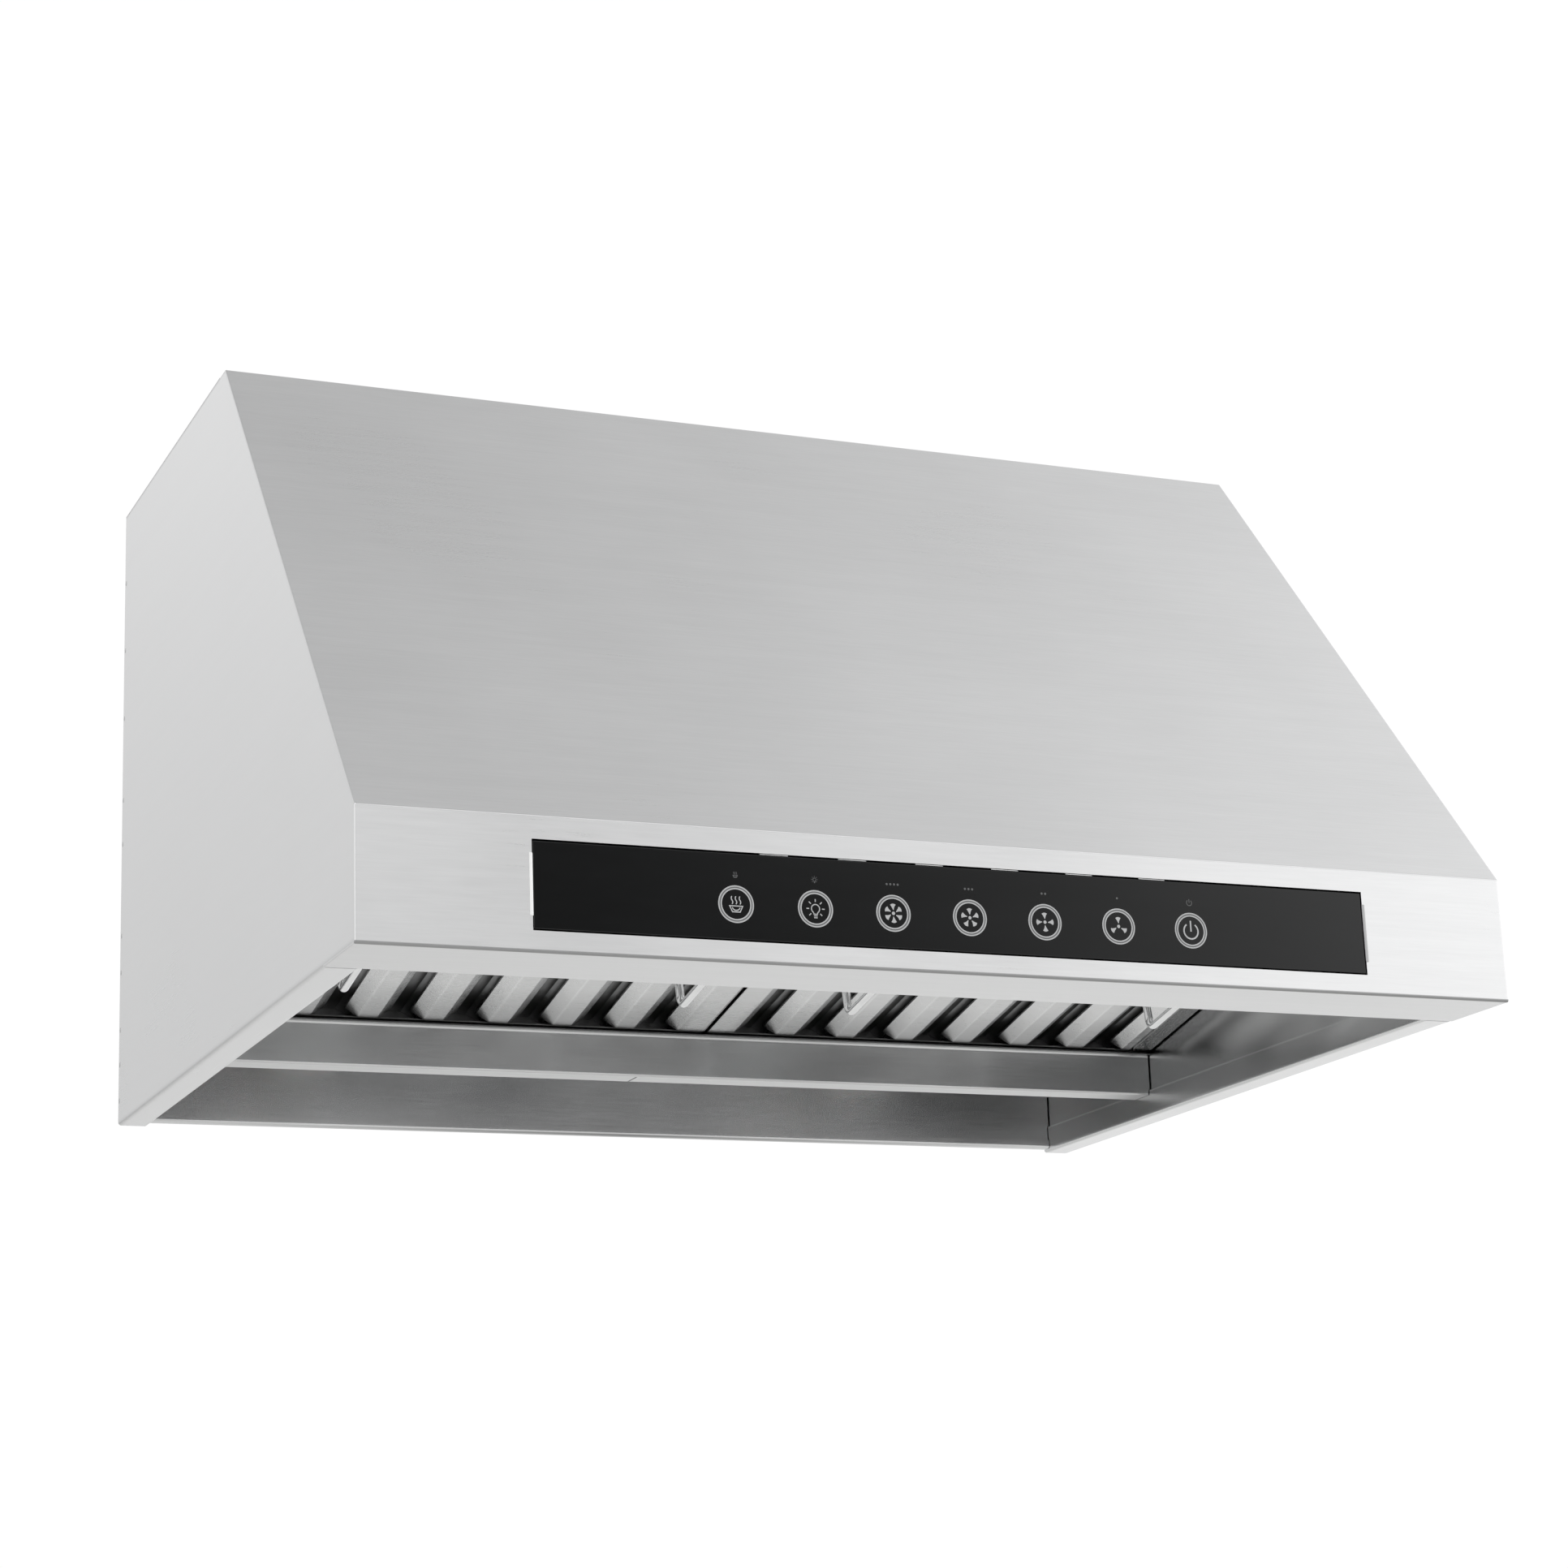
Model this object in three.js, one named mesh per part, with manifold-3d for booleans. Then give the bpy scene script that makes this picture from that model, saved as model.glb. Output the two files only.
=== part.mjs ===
// Under cabinet range hood: a folded stainless canopy with baffle filters, a touch control,
// lights, warming lamps and a double inlet blower that exhausts through a rectangular collar.
// Millimetres, +Z up, the front faces -Y. The exported group has its origin on the top face.
// Inside the cabinet frame used below, y = 0 is the front band and z = 0 the bottom flange.

import * as THREE from 'three';
import { mergeVertices } from 'three/addons/utils/BufferGeometryUtils.js';
import Module from 'manifold-3d';

const wasm = await Module();
wasm.setup();

// ---------------------------------------------------------------- driving dimensions

const WIDTH = 758;
const DEPTH = 610;
const HEIGHT = 457;
const TOP_DEPTH = 305;
const BAND_HEIGHT = 80;
const SHEET = 1.2;
const THIN_SHEET = 0.8;
const GAP = 0.4;
const SIDES = 24;
const FEW_SIDES = 16;
const BEND_RADIUS = 2.5;
const RETURN_HEIGHT = 19.3;
const FLAT_SHEET_FOOT = 25;

const HALF_WIDTH = WIDTH / 2;
const FRONT_LIP_DEPTH = 66;
const SIDE_FLANGE_WIDTH = 21;
const REAR_WALL_DEPTH = 9.3;
const TOP_FLANGE_DEPTH = 15;
const INNER_HALF_WIDTH = HALF_WIDTH - SIDE_FLANGE_WIDTH;
const LINER_X = INNER_HALF_WIDTH + SHEET + GAP;
const BETWEEN_LINERS = LINER_X - GAP;
const BETWEEN_RETURNS = INNER_HALF_WIDTH - GAP;
const UNDER_TOP = HEIGHT - SHEET - GAP;

const MOUNT_Y = DEPTH - TOP_DEPTH / 2;

const MOUNT_SCREW = { x: 300, frontY: 350, rearY: 585, radius: 3.5 };

const KEYHOLE = { x: 250, z: 395, radius: 7, slotHalf: 3, slotTop: 412 };

const LINER = { frontY: 68, bottom: 6, top: 150, backTop: 110, bend: 2 };

const CONTROL = { halfLength: 274.3, low: 13.7, high: 65.1, clearance: 1.0, thickness: 3.2, inset: 0.2 };

const KEYS = { pitch: 50.2, z: 34.7, padRadius: 4, boardY: 9, boardHalfLength: 170 };

const FILTER = {
  slope: Math.atan(0.215),
  pivotY: 429.5,
  pivotZ: 48.1,
  length: 300,
  behindPivot: 20,
  height: 16,
  innerX: 1.6,
  outerX: 341,
  rearStep: 0.6,
  slatEnd: -0.8,
  slats: 8,
  pitch: 46.6,
  firstSlat: { left: -341.2, right: 14 },
  slatHalf: 16,
  flank: 9.2,
  sheet: 0.9,
};

const HANDLE = {
  centres: { left: [-302, -69], right: [53.2, 286.2] },
  wire: 2.8,
  rearLeg: 125,
  span: 96,
  axisDrop: 5,
  gripDrop: 38,
  endBend: 3.4,
  gripBend: 7,
  lug: 5.5,
  lugTop: 4.5,
  lugSheet: 1.4,
};

const TROUGH = { frontY: 435.5, rearY: 458, bottomZ: 15.6, lipZ: 45.4, lipY: 430.4, rearTop: 66 };

const BLOWER = {
  y: 438,
  z: 290,
  halfWidth: 124,
  cutoffRadius: 85,
  outletRadius: 135,
  cutoffAngle: 46,
  neckFront: 497,
  neckTop: 452,
  inletRadius: 70,
};

const IMPELLER = { radius: 75, inner: 63, halfWidth: 95, blades: 20, bore: 6.5 };

const COLLAR = { halfX: 127, front: 493.5, rear: 576.5, top: HEIGHT + 40, wall: 1 };

const LIGHT = { x: 190, y: 99, panelZ: 110, hole: 26, ductY: 133.6, ductTop: 132 };

const LAMP = { x: 230, y: 533, shelfZ: 84, hole: 36, shelfLip: 14, socketTop: 158 };

const CAPACITOR = { y: 473, z: 193, radius: 15, length: 58 };

const DAMPER = { y: 571.5, z: 466, pin: 1.5 };

const CABLE = { x: -280, y: 570, radius: 3.5 };

const JUNCTION_BOX = { x0: -330, x1: -230, front: 540, rear: 600, bottom: 395 };

const POWER_UNIT = { x0: 225, x1: 340, front: 510, rear: 600, bottom: 400 };

// ---------------------------------------------------------------- materials

const FINISHES = {
  steel: { color: 0xc9cbcd, roughness: 0.34, metalness: 1.0 },
  galvanised: { color: 0xa9adb0, roughness: 0.5, metalness: 1.0 },
  chrome: { color: 0xe4e6e8, roughness: 0.12, metalness: 1.0 },
  blackGlass: { color: 0x101114, roughness: 0.06, metalness: 0.0 },
  blackPlastic: { color: 0x1c1d1f, roughness: 0.55, metalness: 0.0 },
  board: { color: 0x1f5a38, roughness: 0.5, metalness: 0.0 },
  frosted: { color: 0xf2f2ea, roughness: 0.35, metalness: 0.0 },
  porcelain: { color: 0xeeeae0, roughness: 0.3, metalness: 0.0 },
  lampGlass: { color: 0xdcdad4, roughness: 0.15, metalness: 0.0 },
  aluminium: { color: 0xb9bcc0, roughness: 0.4, metalness: 1.0 },
  motor: { color: 0x3c4046, roughness: 0.5, metalness: 0.6 },
};

function part(name, geometry, finish) {
  const mesh = new THREE.Mesh(geometry, new THREE.MeshStandardMaterial(FINISHES[finish]));
  mesh.name = name;
  return mesh;
}

// ---------------------------------------------------------------- solids

// Faces that are meant to lie in one plane share exact coordinates, on a grid of a micrometre.
function snap(value) {
  return Math.round(value * 1000) / 1000;
}

function toSolid(geometry) {
  const bare = geometry.clone();
  bare.deleteAttribute('normal');
  bare.deleteAttribute('uv');
  bare.attributes.position.array = bare.attributes.position.array.map(snap);
  const merged = mergeVertices(bare);
  const corners = merged.index.array;
  const kept = [];
  for (let i = 0; i < corners.length; i += 3) {
    const [a, b, c] = [corners[i], corners[i + 1], corners[i + 2]];
    if (a !== b && b !== c && c !== a) {
      kept.push(a, b, c);
    }
  }
  const vertProperties = new Float32Array(merged.attributes.position.array);
  const triVerts = new Uint32Array(kept);
  return new wasm.Manifold(new wasm.Mesh({ numProp: 3, vertProperties, triVerts }));
}

function toGeometry(solid) {
  const { vertProperties, triVerts } = solid.getMesh();
  const geometry = new THREE.BufferGeometry();
  geometry.setAttribute('position', new THREE.BufferAttribute(new Float32Array(vertProperties), 3));
  geometry.setIndex(new THREE.BufferAttribute(new Uint32Array(triVerts), 1));
  geometry.computeVertexNormals();
  return geometry;
}

function join(...geometries) {
  return toGeometry(geometries.map(toSolid).reduce((whole, piece) => whole.add(piece)));
}

function cut(geometry, ...tools) {
  return toGeometry(tools.map(toSolid).reduce((whole, tool) => whole.subtract(tool), toSolid(geometry)));
}

function overlapOf(geometry, other) {
  return toGeometry(toSolid(geometry).intersect(toSolid(other)));
}

function box(x0, x1, y0, y1, z0, z1) {
  const geometry = new THREE.BoxGeometry(x1 - x0, y1 - y0, z1 - z0);
  return geometry.translate((x0 + x1) / 2, (y0 + y1) / 2, (z0 + z1) / 2);
}

function shapeOf(points) {
  return new THREE.Shape(points.map(([a, b]) => new THREE.Vector2(a, b)));
}

function extrude(shape, length) {
  return new THREE.ExtrudeGeometry(shape, { depth: length, bevelEnabled: false, curveSegments: 24 });
}

// An outline in y and z, pulled along x.
function extrudeX(points, x0, x1) {
  const turn = new THREE.Matrix4().makeBasis(
    new THREE.Vector3(0, 1, 0),
    new THREE.Vector3(0, 0, 1),
    new THREE.Vector3(1, 0, 0),
  );
  return extrude(shapeOf(points), x1 - x0).applyMatrix4(turn).translate(x0, 0, 0);
}

// An outline in x and z, pulled along y.
function extrudeY(points, y0, y1) {
  const turn = new THREE.Matrix4().makeBasis(
    new THREE.Vector3(1, 0, 0),
    new THREE.Vector3(0, 0, 1),
    new THREE.Vector3(0, -1, 0),
  );
  return extrude(shapeOf(points), y1 - y0).applyMatrix4(turn).translate(0, y1, 0);
}

// A cylinder along an axis from one coordinate to another, around the two other coordinates.
function rod(axis, radius, from, to, a, b, sides = SIDES) {
  const geometry = new THREE.CylinderGeometry(radius, radius, to - from, sides);
  const middle = (from + to) / 2;
  if (axis === 'x') {
    return geometry.rotateZ(-Math.PI / 2).translate(middle, a, b);
  }
  if (axis === 'y') {
    return geometry.translate(a, middle, b);
  }
  return geometry.rotateX(Math.PI / 2).translate(a, b, middle);
}

// A turned solid: profile points are [radius, height] from the bottom up, around z.
function turned(profile, sides = SIDES) {
  const points = profile.map(([radius, height]) => new THREE.Vector2(radius, height));
  const merged = toSolid(new THREE.LatheGeometry(points, sides));
  return toGeometry(merged).rotateX(Math.PI / 2);
}

// The same around x, with the profile's height running towards +x.
function turnedX(profile, sides = SIDES) {
  return turned(profile, sides).rotateY(Math.PI / 2);
}

// ---------------------------------------------------------------- folded sheet

// Replaces each inner corner of an open path by an arc.
function roundCorners(points, radius, steps = 4) {
  const rounded = [points[0]];
  for (let i = 1; i < points.length - 1; i += 1) {
    const before = new THREE.Vector2(...points[i - 1]);
    const corner = new THREE.Vector2(...points[i]);
    const after = new THREE.Vector2(...points[i + 1]);
    const into = corner.clone().sub(before).normalize();
    const out = after.clone().sub(corner).normalize();
    const turn = Math.atan2(into.cross(out), into.dot(out));
    const setback = radius * Math.tan(Math.abs(turn) / 2);
    const start = corner.clone().addScaledVector(into, -setback);
    const side = Math.sign(turn);
    const centre = start.clone().add(new THREE.Vector2(-into.y, into.x).multiplyScalar(radius * side));
    for (let step = 0; step <= steps; step += 1) {
      const spoke = start.clone().sub(centre).rotateAround(new THREE.Vector2(), (turn * step) / steps);
      rounded.push([centre.x + spoke.x, centre.y + spoke.y]);
    }
  }
  rounded.push(points[points.length - 1]);
  return rounded;
}

// The closed outline of a sheet whose outer skin follows the path. Its material lies to the left
// of the path where side is 1, and to the right where side is -1.
function sheetOutline(path, thickness, side) {
  const inner = path.map((point, i) => {
    const here = new THREE.Vector2(...point);
    const before = new THREE.Vector2(...path[Math.max(i - 1, 0)]);
    const after = new THREE.Vector2(...path[Math.min(i + 1, path.length - 1)]);
    const into = (i === 0 ? after.clone().sub(here) : here.clone().sub(before)).normalize();
    const out = (i === path.length - 1 ? into.clone() : after.clone().sub(here)).normalize();
    const normal = new THREE.Vector2(-into.y - out.y, into.x + out.x).normalize();
    const reach = thickness / Math.max(normal.dot(new THREE.Vector2(-into.y, into.x)), 0.2);
    return [here.x + normal.x * reach * side, here.y + normal.y * reach * side];
  });
  return [...path, ...inner.reverse()];
}

function foldedX(path, thickness, side, x0, x1, radius = BEND_RADIUS) {
  return extrudeX(sheetOutline(roundCorners(path, radius), thickness, side), x0, x1);
}

function foldedY(path, thickness, side, y0, y1, radius = BEND_RADIUS) {
  return extrudeY(sheetOutline(roundCorners(path, radius), thickness, side), y0, y1);
}

// The same piece on the other side of x = 0, with its faces turned back to point outwards.
function mirrored(geometry) {
  const flipped = toGeometry(toSolid(geometry)).scale(-1, 1, 1);
  const corners = flipped.index.array;
  for (let i = 0; i < corners.length; i += 3) {
    [corners[i], corners[i + 1]] = [corners[i + 1], corners[i]];
  }
  flipped.computeVertexNormals();
  return flipped;
}

// ---------------------------------------------------------------- outer shell

const SLOPE = Math.atan2(HEIGHT - BAND_HEIGHT, DEPTH - TOP_DEPTH);

function canopyFront() {
  const path = [
    [FRONT_LIP_DEPTH, RETURN_HEIGHT],
    [FRONT_LIP_DEPTH, 0],
    [0, 0],
    [0, BAND_HEIGHT],
    [DEPTH - TOP_DEPTH, HEIGHT],
    [DEPTH - TOP_DEPTH + TOP_FLANGE_DEPTH, HEIGHT],
  ];
  const sheet = foldedX(path, SHEET, -1, -HALF_WIDTH, HALF_WIDTH);
  const { halfLength, low, high, clearance } = CONTROL;
  const window = box(
    -halfLength - clearance, halfLength + clearance, -5, 5, low - clearance, high + clearance,
  );
  const trims = [-1, 1].map((side) => {
    const edges = [side * BETWEEN_RETURNS, side * (HALF_WIDTH + 1)].sort((a, b) => a - b);
    return box(edges[0], edges[1], FRONT_LIP_DEPTH - 4, FRONT_LIP_DEPTH + 1, SHEET, RETURN_HEIGHT + 1);
  });
  return cut(sheet, window, ...trims);
}

function sidePanel() {
  const inset = SHEET + GAP;
  const slopeShift = inset / Math.cos(SLOPE);
  const flangeEnd = DEPTH - SHEET - GAP;
  const slopeFootZ = BAND_HEIGHT - slopeShift + inset * Math.tan(SLOPE);
  const slopeTopY = DEPTH - TOP_DEPTH + (UNDER_TOP - HEIGHT + slopeShift) / Math.tan(SLOPE);
  const sheet = extrudeX([
    [inset, 4],
    [4, inset],
    [FRONT_LIP_DEPTH + GAP, inset],
    [FRONT_LIP_DEPTH + GAP, FLAT_SHEET_FOOT],
    [flangeEnd - 0.5, FLAT_SHEET_FOOT],
    [flangeEnd - 0.5, 3],
    [DEPTH, 3],
    [DEPTH, UNDER_TOP],
    [slopeTopY, UNDER_TOP],
    [inset, slopeFootZ],
  ], HALF_WIDTH - SHEET, HALF_WIDTH);
  const flange = foldedY([
    [INNER_HALF_WIDTH, RETURN_HEIGHT],
    [INNER_HALF_WIDTH, 0],
    [HALF_WIDTH, 0],
    [HALF_WIDTH, FLAT_SHEET_FOOT + 1],
  ], SHEET, 1, FRONT_LIP_DEPTH + GAP, flangeEnd);
  return join(sheet, flange);
}

function topPanel() {
  const front = DEPTH - TOP_DEPTH + TOP_FLANGE_DEPTH + GAP;
  const flangeX = HALF_WIDTH - SHEET - GAP;
  const plate = box(-HALF_WIDTH, HALF_WIDTH, front, DEPTH, HEIGHT - SHEET, HEIGHT);
  const flanges = [-1, 1].map((side) => {
    const centre = side * (flangeX - SHEET / 2);
    return box(centre - SHEET / 2, centre + SHEET / 2, front + 8, DEPTH - 8, HEIGHT - 20, HEIGHT - 0.5);
  });
  const outlet = box(
    -COLLAR.halfX - 2, COLLAR.halfX + 2, COLLAR.front - 2, COLLAR.rear + 2, HEIGHT - 5, HEIGHT + 5,
  );
  const { x, frontY, rearY, radius } = MOUNT_SCREW;
  const screwHoles = [[-x, frontY], [x, frontY], [-x, rearY], [x, rearY]].map(
    ([screwX, screwY]) => rod('z', radius, HEIGHT - 5, HEIGHT + 5, screwX, screwY, FEW_SIDES),
  );
  const cableHole = rod('z', 11.5, HEIGHT - 5, HEIGHT + 5, CABLE.x, CABLE.y);
  return cut(join(plate, ...flanges), outlet, cableHole, ...screwHoles);
}

function backPanel() {
  const foot = FLAT_SHEET_FOOT;
  const halfSheet = HALF_WIDTH - SHEET - GAP;
  const sheet = box(-halfSheet, halfSheet, DEPTH - SHEET, DEPTH, foot, UNDER_TOP);
  const cornerX = BETWEEN_RETURNS + GAP;
  const corners = [[-halfSheet, -cornerX], [cornerX, halfSheet]].map(
    ([x0, x1]) => box(x0, x1, DEPTH - SHEET, DEPTH, SHEET + GAP, foot + 1),
  );
  const flange = foldedX([
    [DEPTH - REAR_WALL_DEPTH, RETURN_HEIGHT],
    [DEPTH - REAR_WALL_DEPTH, 0],
    [DEPTH, 0],
    [DEPTH, foot + 1],
  ], SHEET, 1, -BETWEEN_RETURNS, BETWEEN_RETURNS);
  const { z, radius, slotHalf, slotTop } = KEYHOLE;
  const keyholes = [-KEYHOLE.x, KEYHOLE.x].flatMap((x) => [
    rod('y', radius, DEPTH - 5, DEPTH + 5, x, z),
    box(x - slotHalf, x + slotHalf, DEPTH - 5, DEPTH + 5, z, slotTop),
  ]);
  return cut(join(sheet, flange, ...corners), ...keyholes);
}

// ---------------------------------------------------------------- inner liner

function innerSideWall() {
  const { frontY, bottom, top, bend } = LINER;
  const path = [[LINER_X, bottom], [LINER_X, top], [HALF_WIDTH - SHEET - 2 * GAP, top]];
  return foldedY(path, THIN_SHEET, -1, frontY, DEPTH - SHEET - 3 * GAP, bend);
}

function innerBackWall() {
  const { bottom, backTop, bend } = LINER;
  const wallY = DEPTH - REAR_WALL_DEPTH + SHEET + GAP;
  const path = [[wallY, bottom], [wallY, backTop], [DEPTH - SHEET - 2 * GAP, backTop]];
  return foldedX(path, THIN_SHEET, -1, -BETWEEN_RETURNS, BETWEEN_RETURNS, bend);
}

function lightPanel() {
  const { panelZ, hole, ductY, ductTop } = LIGHT;
  const wallY = FRONT_LIP_DEPTH - SHEET - GAP;
  const path = [[wallY, LINER.bottom], [wallY, panelZ], [ductY, panelZ], [ductY, ductTop]];
  const sheet = foldedX(path, THIN_SHEET, 1, -BETWEEN_LINERS, BETWEEN_LINERS, LINER.bend);
  const holes = [-LIGHT.x, LIGHT.x].map((x) => rod('z', hole, panelZ - 10, panelZ + 10, x, LIGHT.y));
  return cut(sheet, ...holes);
}

function greaseTrough() {
  const { frontY, rearY, bottomZ, lipZ, lipY, rearTop } = TROUGH;
  const path = [[lipY, lipZ], [frontY, lipZ], [frontY, bottomZ], [rearY, bottomZ], [rearY, rearTop]];
  return foldedX(path, SHEET, 1, -BETWEEN_RETURNS, BETWEEN_RETURNS, 1.6);
}

function lampShelf() {
  const frontY = TROUGH.rearY + GAP + THIN_SHEET;
  const rearY = DEPTH - REAR_WALL_DEPTH + SHEET - THIN_SHEET;
  const { shelfZ, shelfLip, hole } = LAMP;
  const path = [[frontY, 40], [frontY, shelfZ], [rearY, shelfZ], [rearY, shelfZ - shelfLip]];
  const sheet = foldedX(path, THIN_SHEET, 1, -BETWEEN_LINERS, BETWEEN_LINERS, LINER.bend);
  const holes = [-LAMP.x, LAMP.x].map((x) => rod('z', hole, shelfZ - 14, shelfZ + 16, x, LAMP.y));
  return cut(sheet, ...holes);
}

// ---------------------------------------------------------------- filters, in the sloping frame

// In this frame the filter's lower face is z = 0, its rear pivot line is y = 0, and it runs to -y.
function slopingGroup() {
  const group = new THREE.Group();
  group.position.set(0, FILTER.pivotY, FILTER.pivotZ);
  group.rotation.x = -FILTER.slope;
  return group;
}

function sideLedge() {
  const inner = FILTER.outerX + 1;
  const flat = box(inner, BETWEEN_LINERS, 3 - FILTER.length, -1.5, 0, 1);
  const upstand = box(inner, inner + 1, 3 - FILTER.length, -1.5, 0.5, 14);
  return join(flat, upstand);
}

// A trapezoid channel. The lower ones open upwards and the upper ones downwards.
function slat(centre, upper, y0, y1) {
  const { slatHalf, flank, sheet, height } = FILTER;
  const foot = upper ? 9.5 : 5.7;
  const web = upper ? height - 1.4 : 0;
  const flat = slatHalf - flank;
  const profile = [[-slatHalf, foot], [-flat, web], [flat, web], [slatHalf, foot]];
  const path = profile.map(([x, z]) => [centre + x, z]);
  return extrudeY(sheetOutline(path, sheet, upper ? -1 : 1), y0, y1);
}

// The slat beside the seam between the filters has one flank and runs flat to the inner rail.
function seamSlat(centre, low, high) {
  const { length, height, sheet, slatEnd } = FILTER;
  const kept = centre < 0 ? [low, centre] : [centre, high];
  const flat = centre < 0 ? [centre, high] : [low, centre];
  const whole = slat(centre, false, 0.8 - length, slatEnd);
  return [
    overlapOf(whole, box(...kept, -length, 0, -1, height)),
    box(...flat, 0.8 - length, slatEnd, 0, sheet),
  ];
}

function filterBody(name) {
  const { length, behindPivot, height, innerX, outerX, rearStep, slatEnd, slats, pitch } = FILTER;
  const low = name === 'left' ? -outerX : innerX;
  const high = name === 'left' ? -innerX : outerX;
  const railOutline = [
    [slatEnd, 0],
    [slatEnd, rearStep],
    [behindPivot, rearStep],
    [behindPivot, height],
    [-length, height],
    [-length, 0],
  ];
  const pieces = [
    extrudeX(railOutline, low, low + 1.5),
    extrudeX(railOutline, high - 1.5, high),
    box(low, high, -length, 1.5 - length, 0, height),
    box(low, high, -length, 9 - length, 0, 1.2),
    box(low, high, -length, 12 - length, height - 1.2, height),
    box(low, high, behindPivot - 1.5, behindPivot, rearStep, height),
    box(low, high, -5, behindPivot, rearStep, rearStep + 1.4),
    box(low, high, behindPivot - 12, behindPivot, height - 1.2, height),
  ];
  const inside = box(low + 0.5, high - 0.5, -length, behindPivot, -1, height);
  const atSeam = name === 'left' ? slats - 1 : 0;
  for (let i = 0; i < slats; i += 1) {
    const centre = FILTER.firstSlat[name] + i * pitch;
    if (i === atSeam) {
      pieces.push(...seamSlat(centre, low, high));
    } else {
      pieces.push(overlapOf(slat(centre, false, 0.8 - length, slatEnd), inside));
    }
    if (i < slats - 1) {
      pieces.push(slat(centre + pitch / 2, true, 0.8 - length, behindPivot - 0.8));
    }
  }
  const holes = [];
  for (const x of HANDLE.centres[name]) {
    for (const v of lugPlaces()) {
      pieces.push(...handleLug(x, v));
      holes.push(rod('y', HANDLE.wire + 0.5, -v - 2, -v + 2, x, -HANDLE.axisDrop, FEW_SIDES));
    }
  }
  return cut(join(...pieces), ...holes);
}

function handleLug(x, v) {
  const { lug, lugTop, lugSheet, axisDrop } = HANDLE;
  const front = -v - lugSheet / 2;
  const rear = front + lugSheet;
  return [
    box(x - lug, x + lug, front, rear, -axisDrop, lugTop),
    rod('y', lug, front, rear, x, -axisDrop, FEW_SIDES),
  ];
}

function lugPlaces() {
  const { rearLeg, span } = HANDLE;
  return [rearLeg + 6.5, rearLeg + span - 6.5];
}

// A bent wire bail with its two ends turned in through the lugs, hanging from the pivot axis.
function handleWire() {
  const { wire, rearLeg, span, axisDrop, gripDrop, endBend, gripBend } = HANDLE;
  const corners = [
    [-rearLeg - 10, -axisDrop],
    [-rearLeg, -axisDrop],
    [-rearLeg, -gripDrop],
    [-rearLeg - span, -gripDrop],
    [-rearLeg - span, -axisDrop],
    [-rearLeg - span + 10, -axisDrop],
  ];
  const radii = [0, endBend, gripBend, gripBend, endBend, 0];
  const route = new THREE.CurvePath();
  const at = ([y, z]) => new THREE.Vector3(0, y, z);
  let last = at(corners[0]);
  for (let i = 1; i < corners.length - 1; i += 1) {
    const corner = at(corners[i]);
    const into = corner.clone().sub(at(corners[i - 1])).normalize();
    const out = at(corners[i + 1]).sub(corner).normalize();
    const start = corner.clone().addScaledVector(into, -radii[i]);
    const end = corner.clone().addScaledVector(out, radii[i]);
    route.add(new THREE.LineCurve3(last, start));
    route.add(new THREE.QuadraticBezierCurve3(start, corner, end));
    last = end;
  }
  route.add(new THREE.LineCurve3(last, at(corners[corners.length - 1])));
  const section = new THREE.Shape();
  section.absarc(0, 0, wire, 0, 2 * Math.PI, false);
  return new THREE.ExtrudeGeometry(section, {
    extrudePath: route,
    steps: 24,
    curveSegments: 3,
    bevelEnabled: false,
  });
}

// ---------------------------------------------------------------- control

function controlGlass() {
  const { halfLength, low, high, thickness, inset } = CONTROL;
  return box(-halfLength, halfLength, inset, inset + thickness, low, high);
}

function controlBoard() {
  const { pitch, z, padRadius, boardY, boardHalfLength } = KEYS;
  const board = box(-boardHalfLength, boardHalfLength, boardY, boardY + 1.6, 20, 58);
  const behindGlass = CONTROL.inset + CONTROL.thickness + GAP;
  const pads = [-3, -2, -1, 0, 1, 2, 3].map(
    (i) => rod('y', padRadius, behindGlass, boardY + 0.5, i * pitch, z, FEW_SIDES),
  );
  return join(board, ...pads);
}

function controlHousing() {
  const { halfLength, low, high } = CONTROL;
  const frontY = SHEET + GAP;
  const backY = 26;
  const tray = box(-halfLength - 8, halfLength + 8, frontY, backY, low - 7, high + 7);
  const hollow = box(-halfLength - 1.5, halfLength + 1.5, frontY - 1, backY - 2, low - 1.5, high + 1.5);
  const postY = KEYS.boardY + 1.6 + GAP;
  const posts = [-160, 160].map((x) => rod('y', 3.5, postY, backY - 1, x, 39, FEW_SIDES));
  return join(cut(tray, hollow), ...posts);
}

// ---------------------------------------------------------------- lights and warming lamps

function lightBezel() {
  const top = LIGHT.panelZ - GAP;
  return turned([
    [24, top - 2], [30, top - 2], [30, top], [25.5, top], [25.5, top + 5], [24, top + 5], [24, top - 2],
  ]);
}

function lightLens() {
  const top = LIGHT.panelZ;
  return turned([[0, top - 2.2], [23.6, top - 2.2], [23.6, top + 1], [0, top + 1]]);
}

function lightBody() {
  const bottom = LIGHT.panelZ + 5.2;
  const profile = [[0, bottom], [28, bottom]];
  for (let fin = 0; fin < 2; fin += 1) {
    const z = bottom + 7 + fin * 6;
    profile.push([28, z - 1.6], [22, z - 1.6], [22, z], [28, z]);
  }
  profile.push([28, bottom + 18], [0, bottom + 18]);
  return turned(profile, FEW_SIDES);
}

function warmingLamp() {
  return turned([
    [0, 60], [22, 60.6], [31, 65], [31, 76], [26.5, 90], [13.6, 118], [13.2, 140], [0, 142],
  ], FEW_SIDES);
}

function lampSocket() {
  const top = LAMP.socketTop;
  return turned([[14, 121], [19, 121], [19, top], [0, top], [0, 143], [14, 143], [14, 121]], FEW_SIDES);
}

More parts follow.
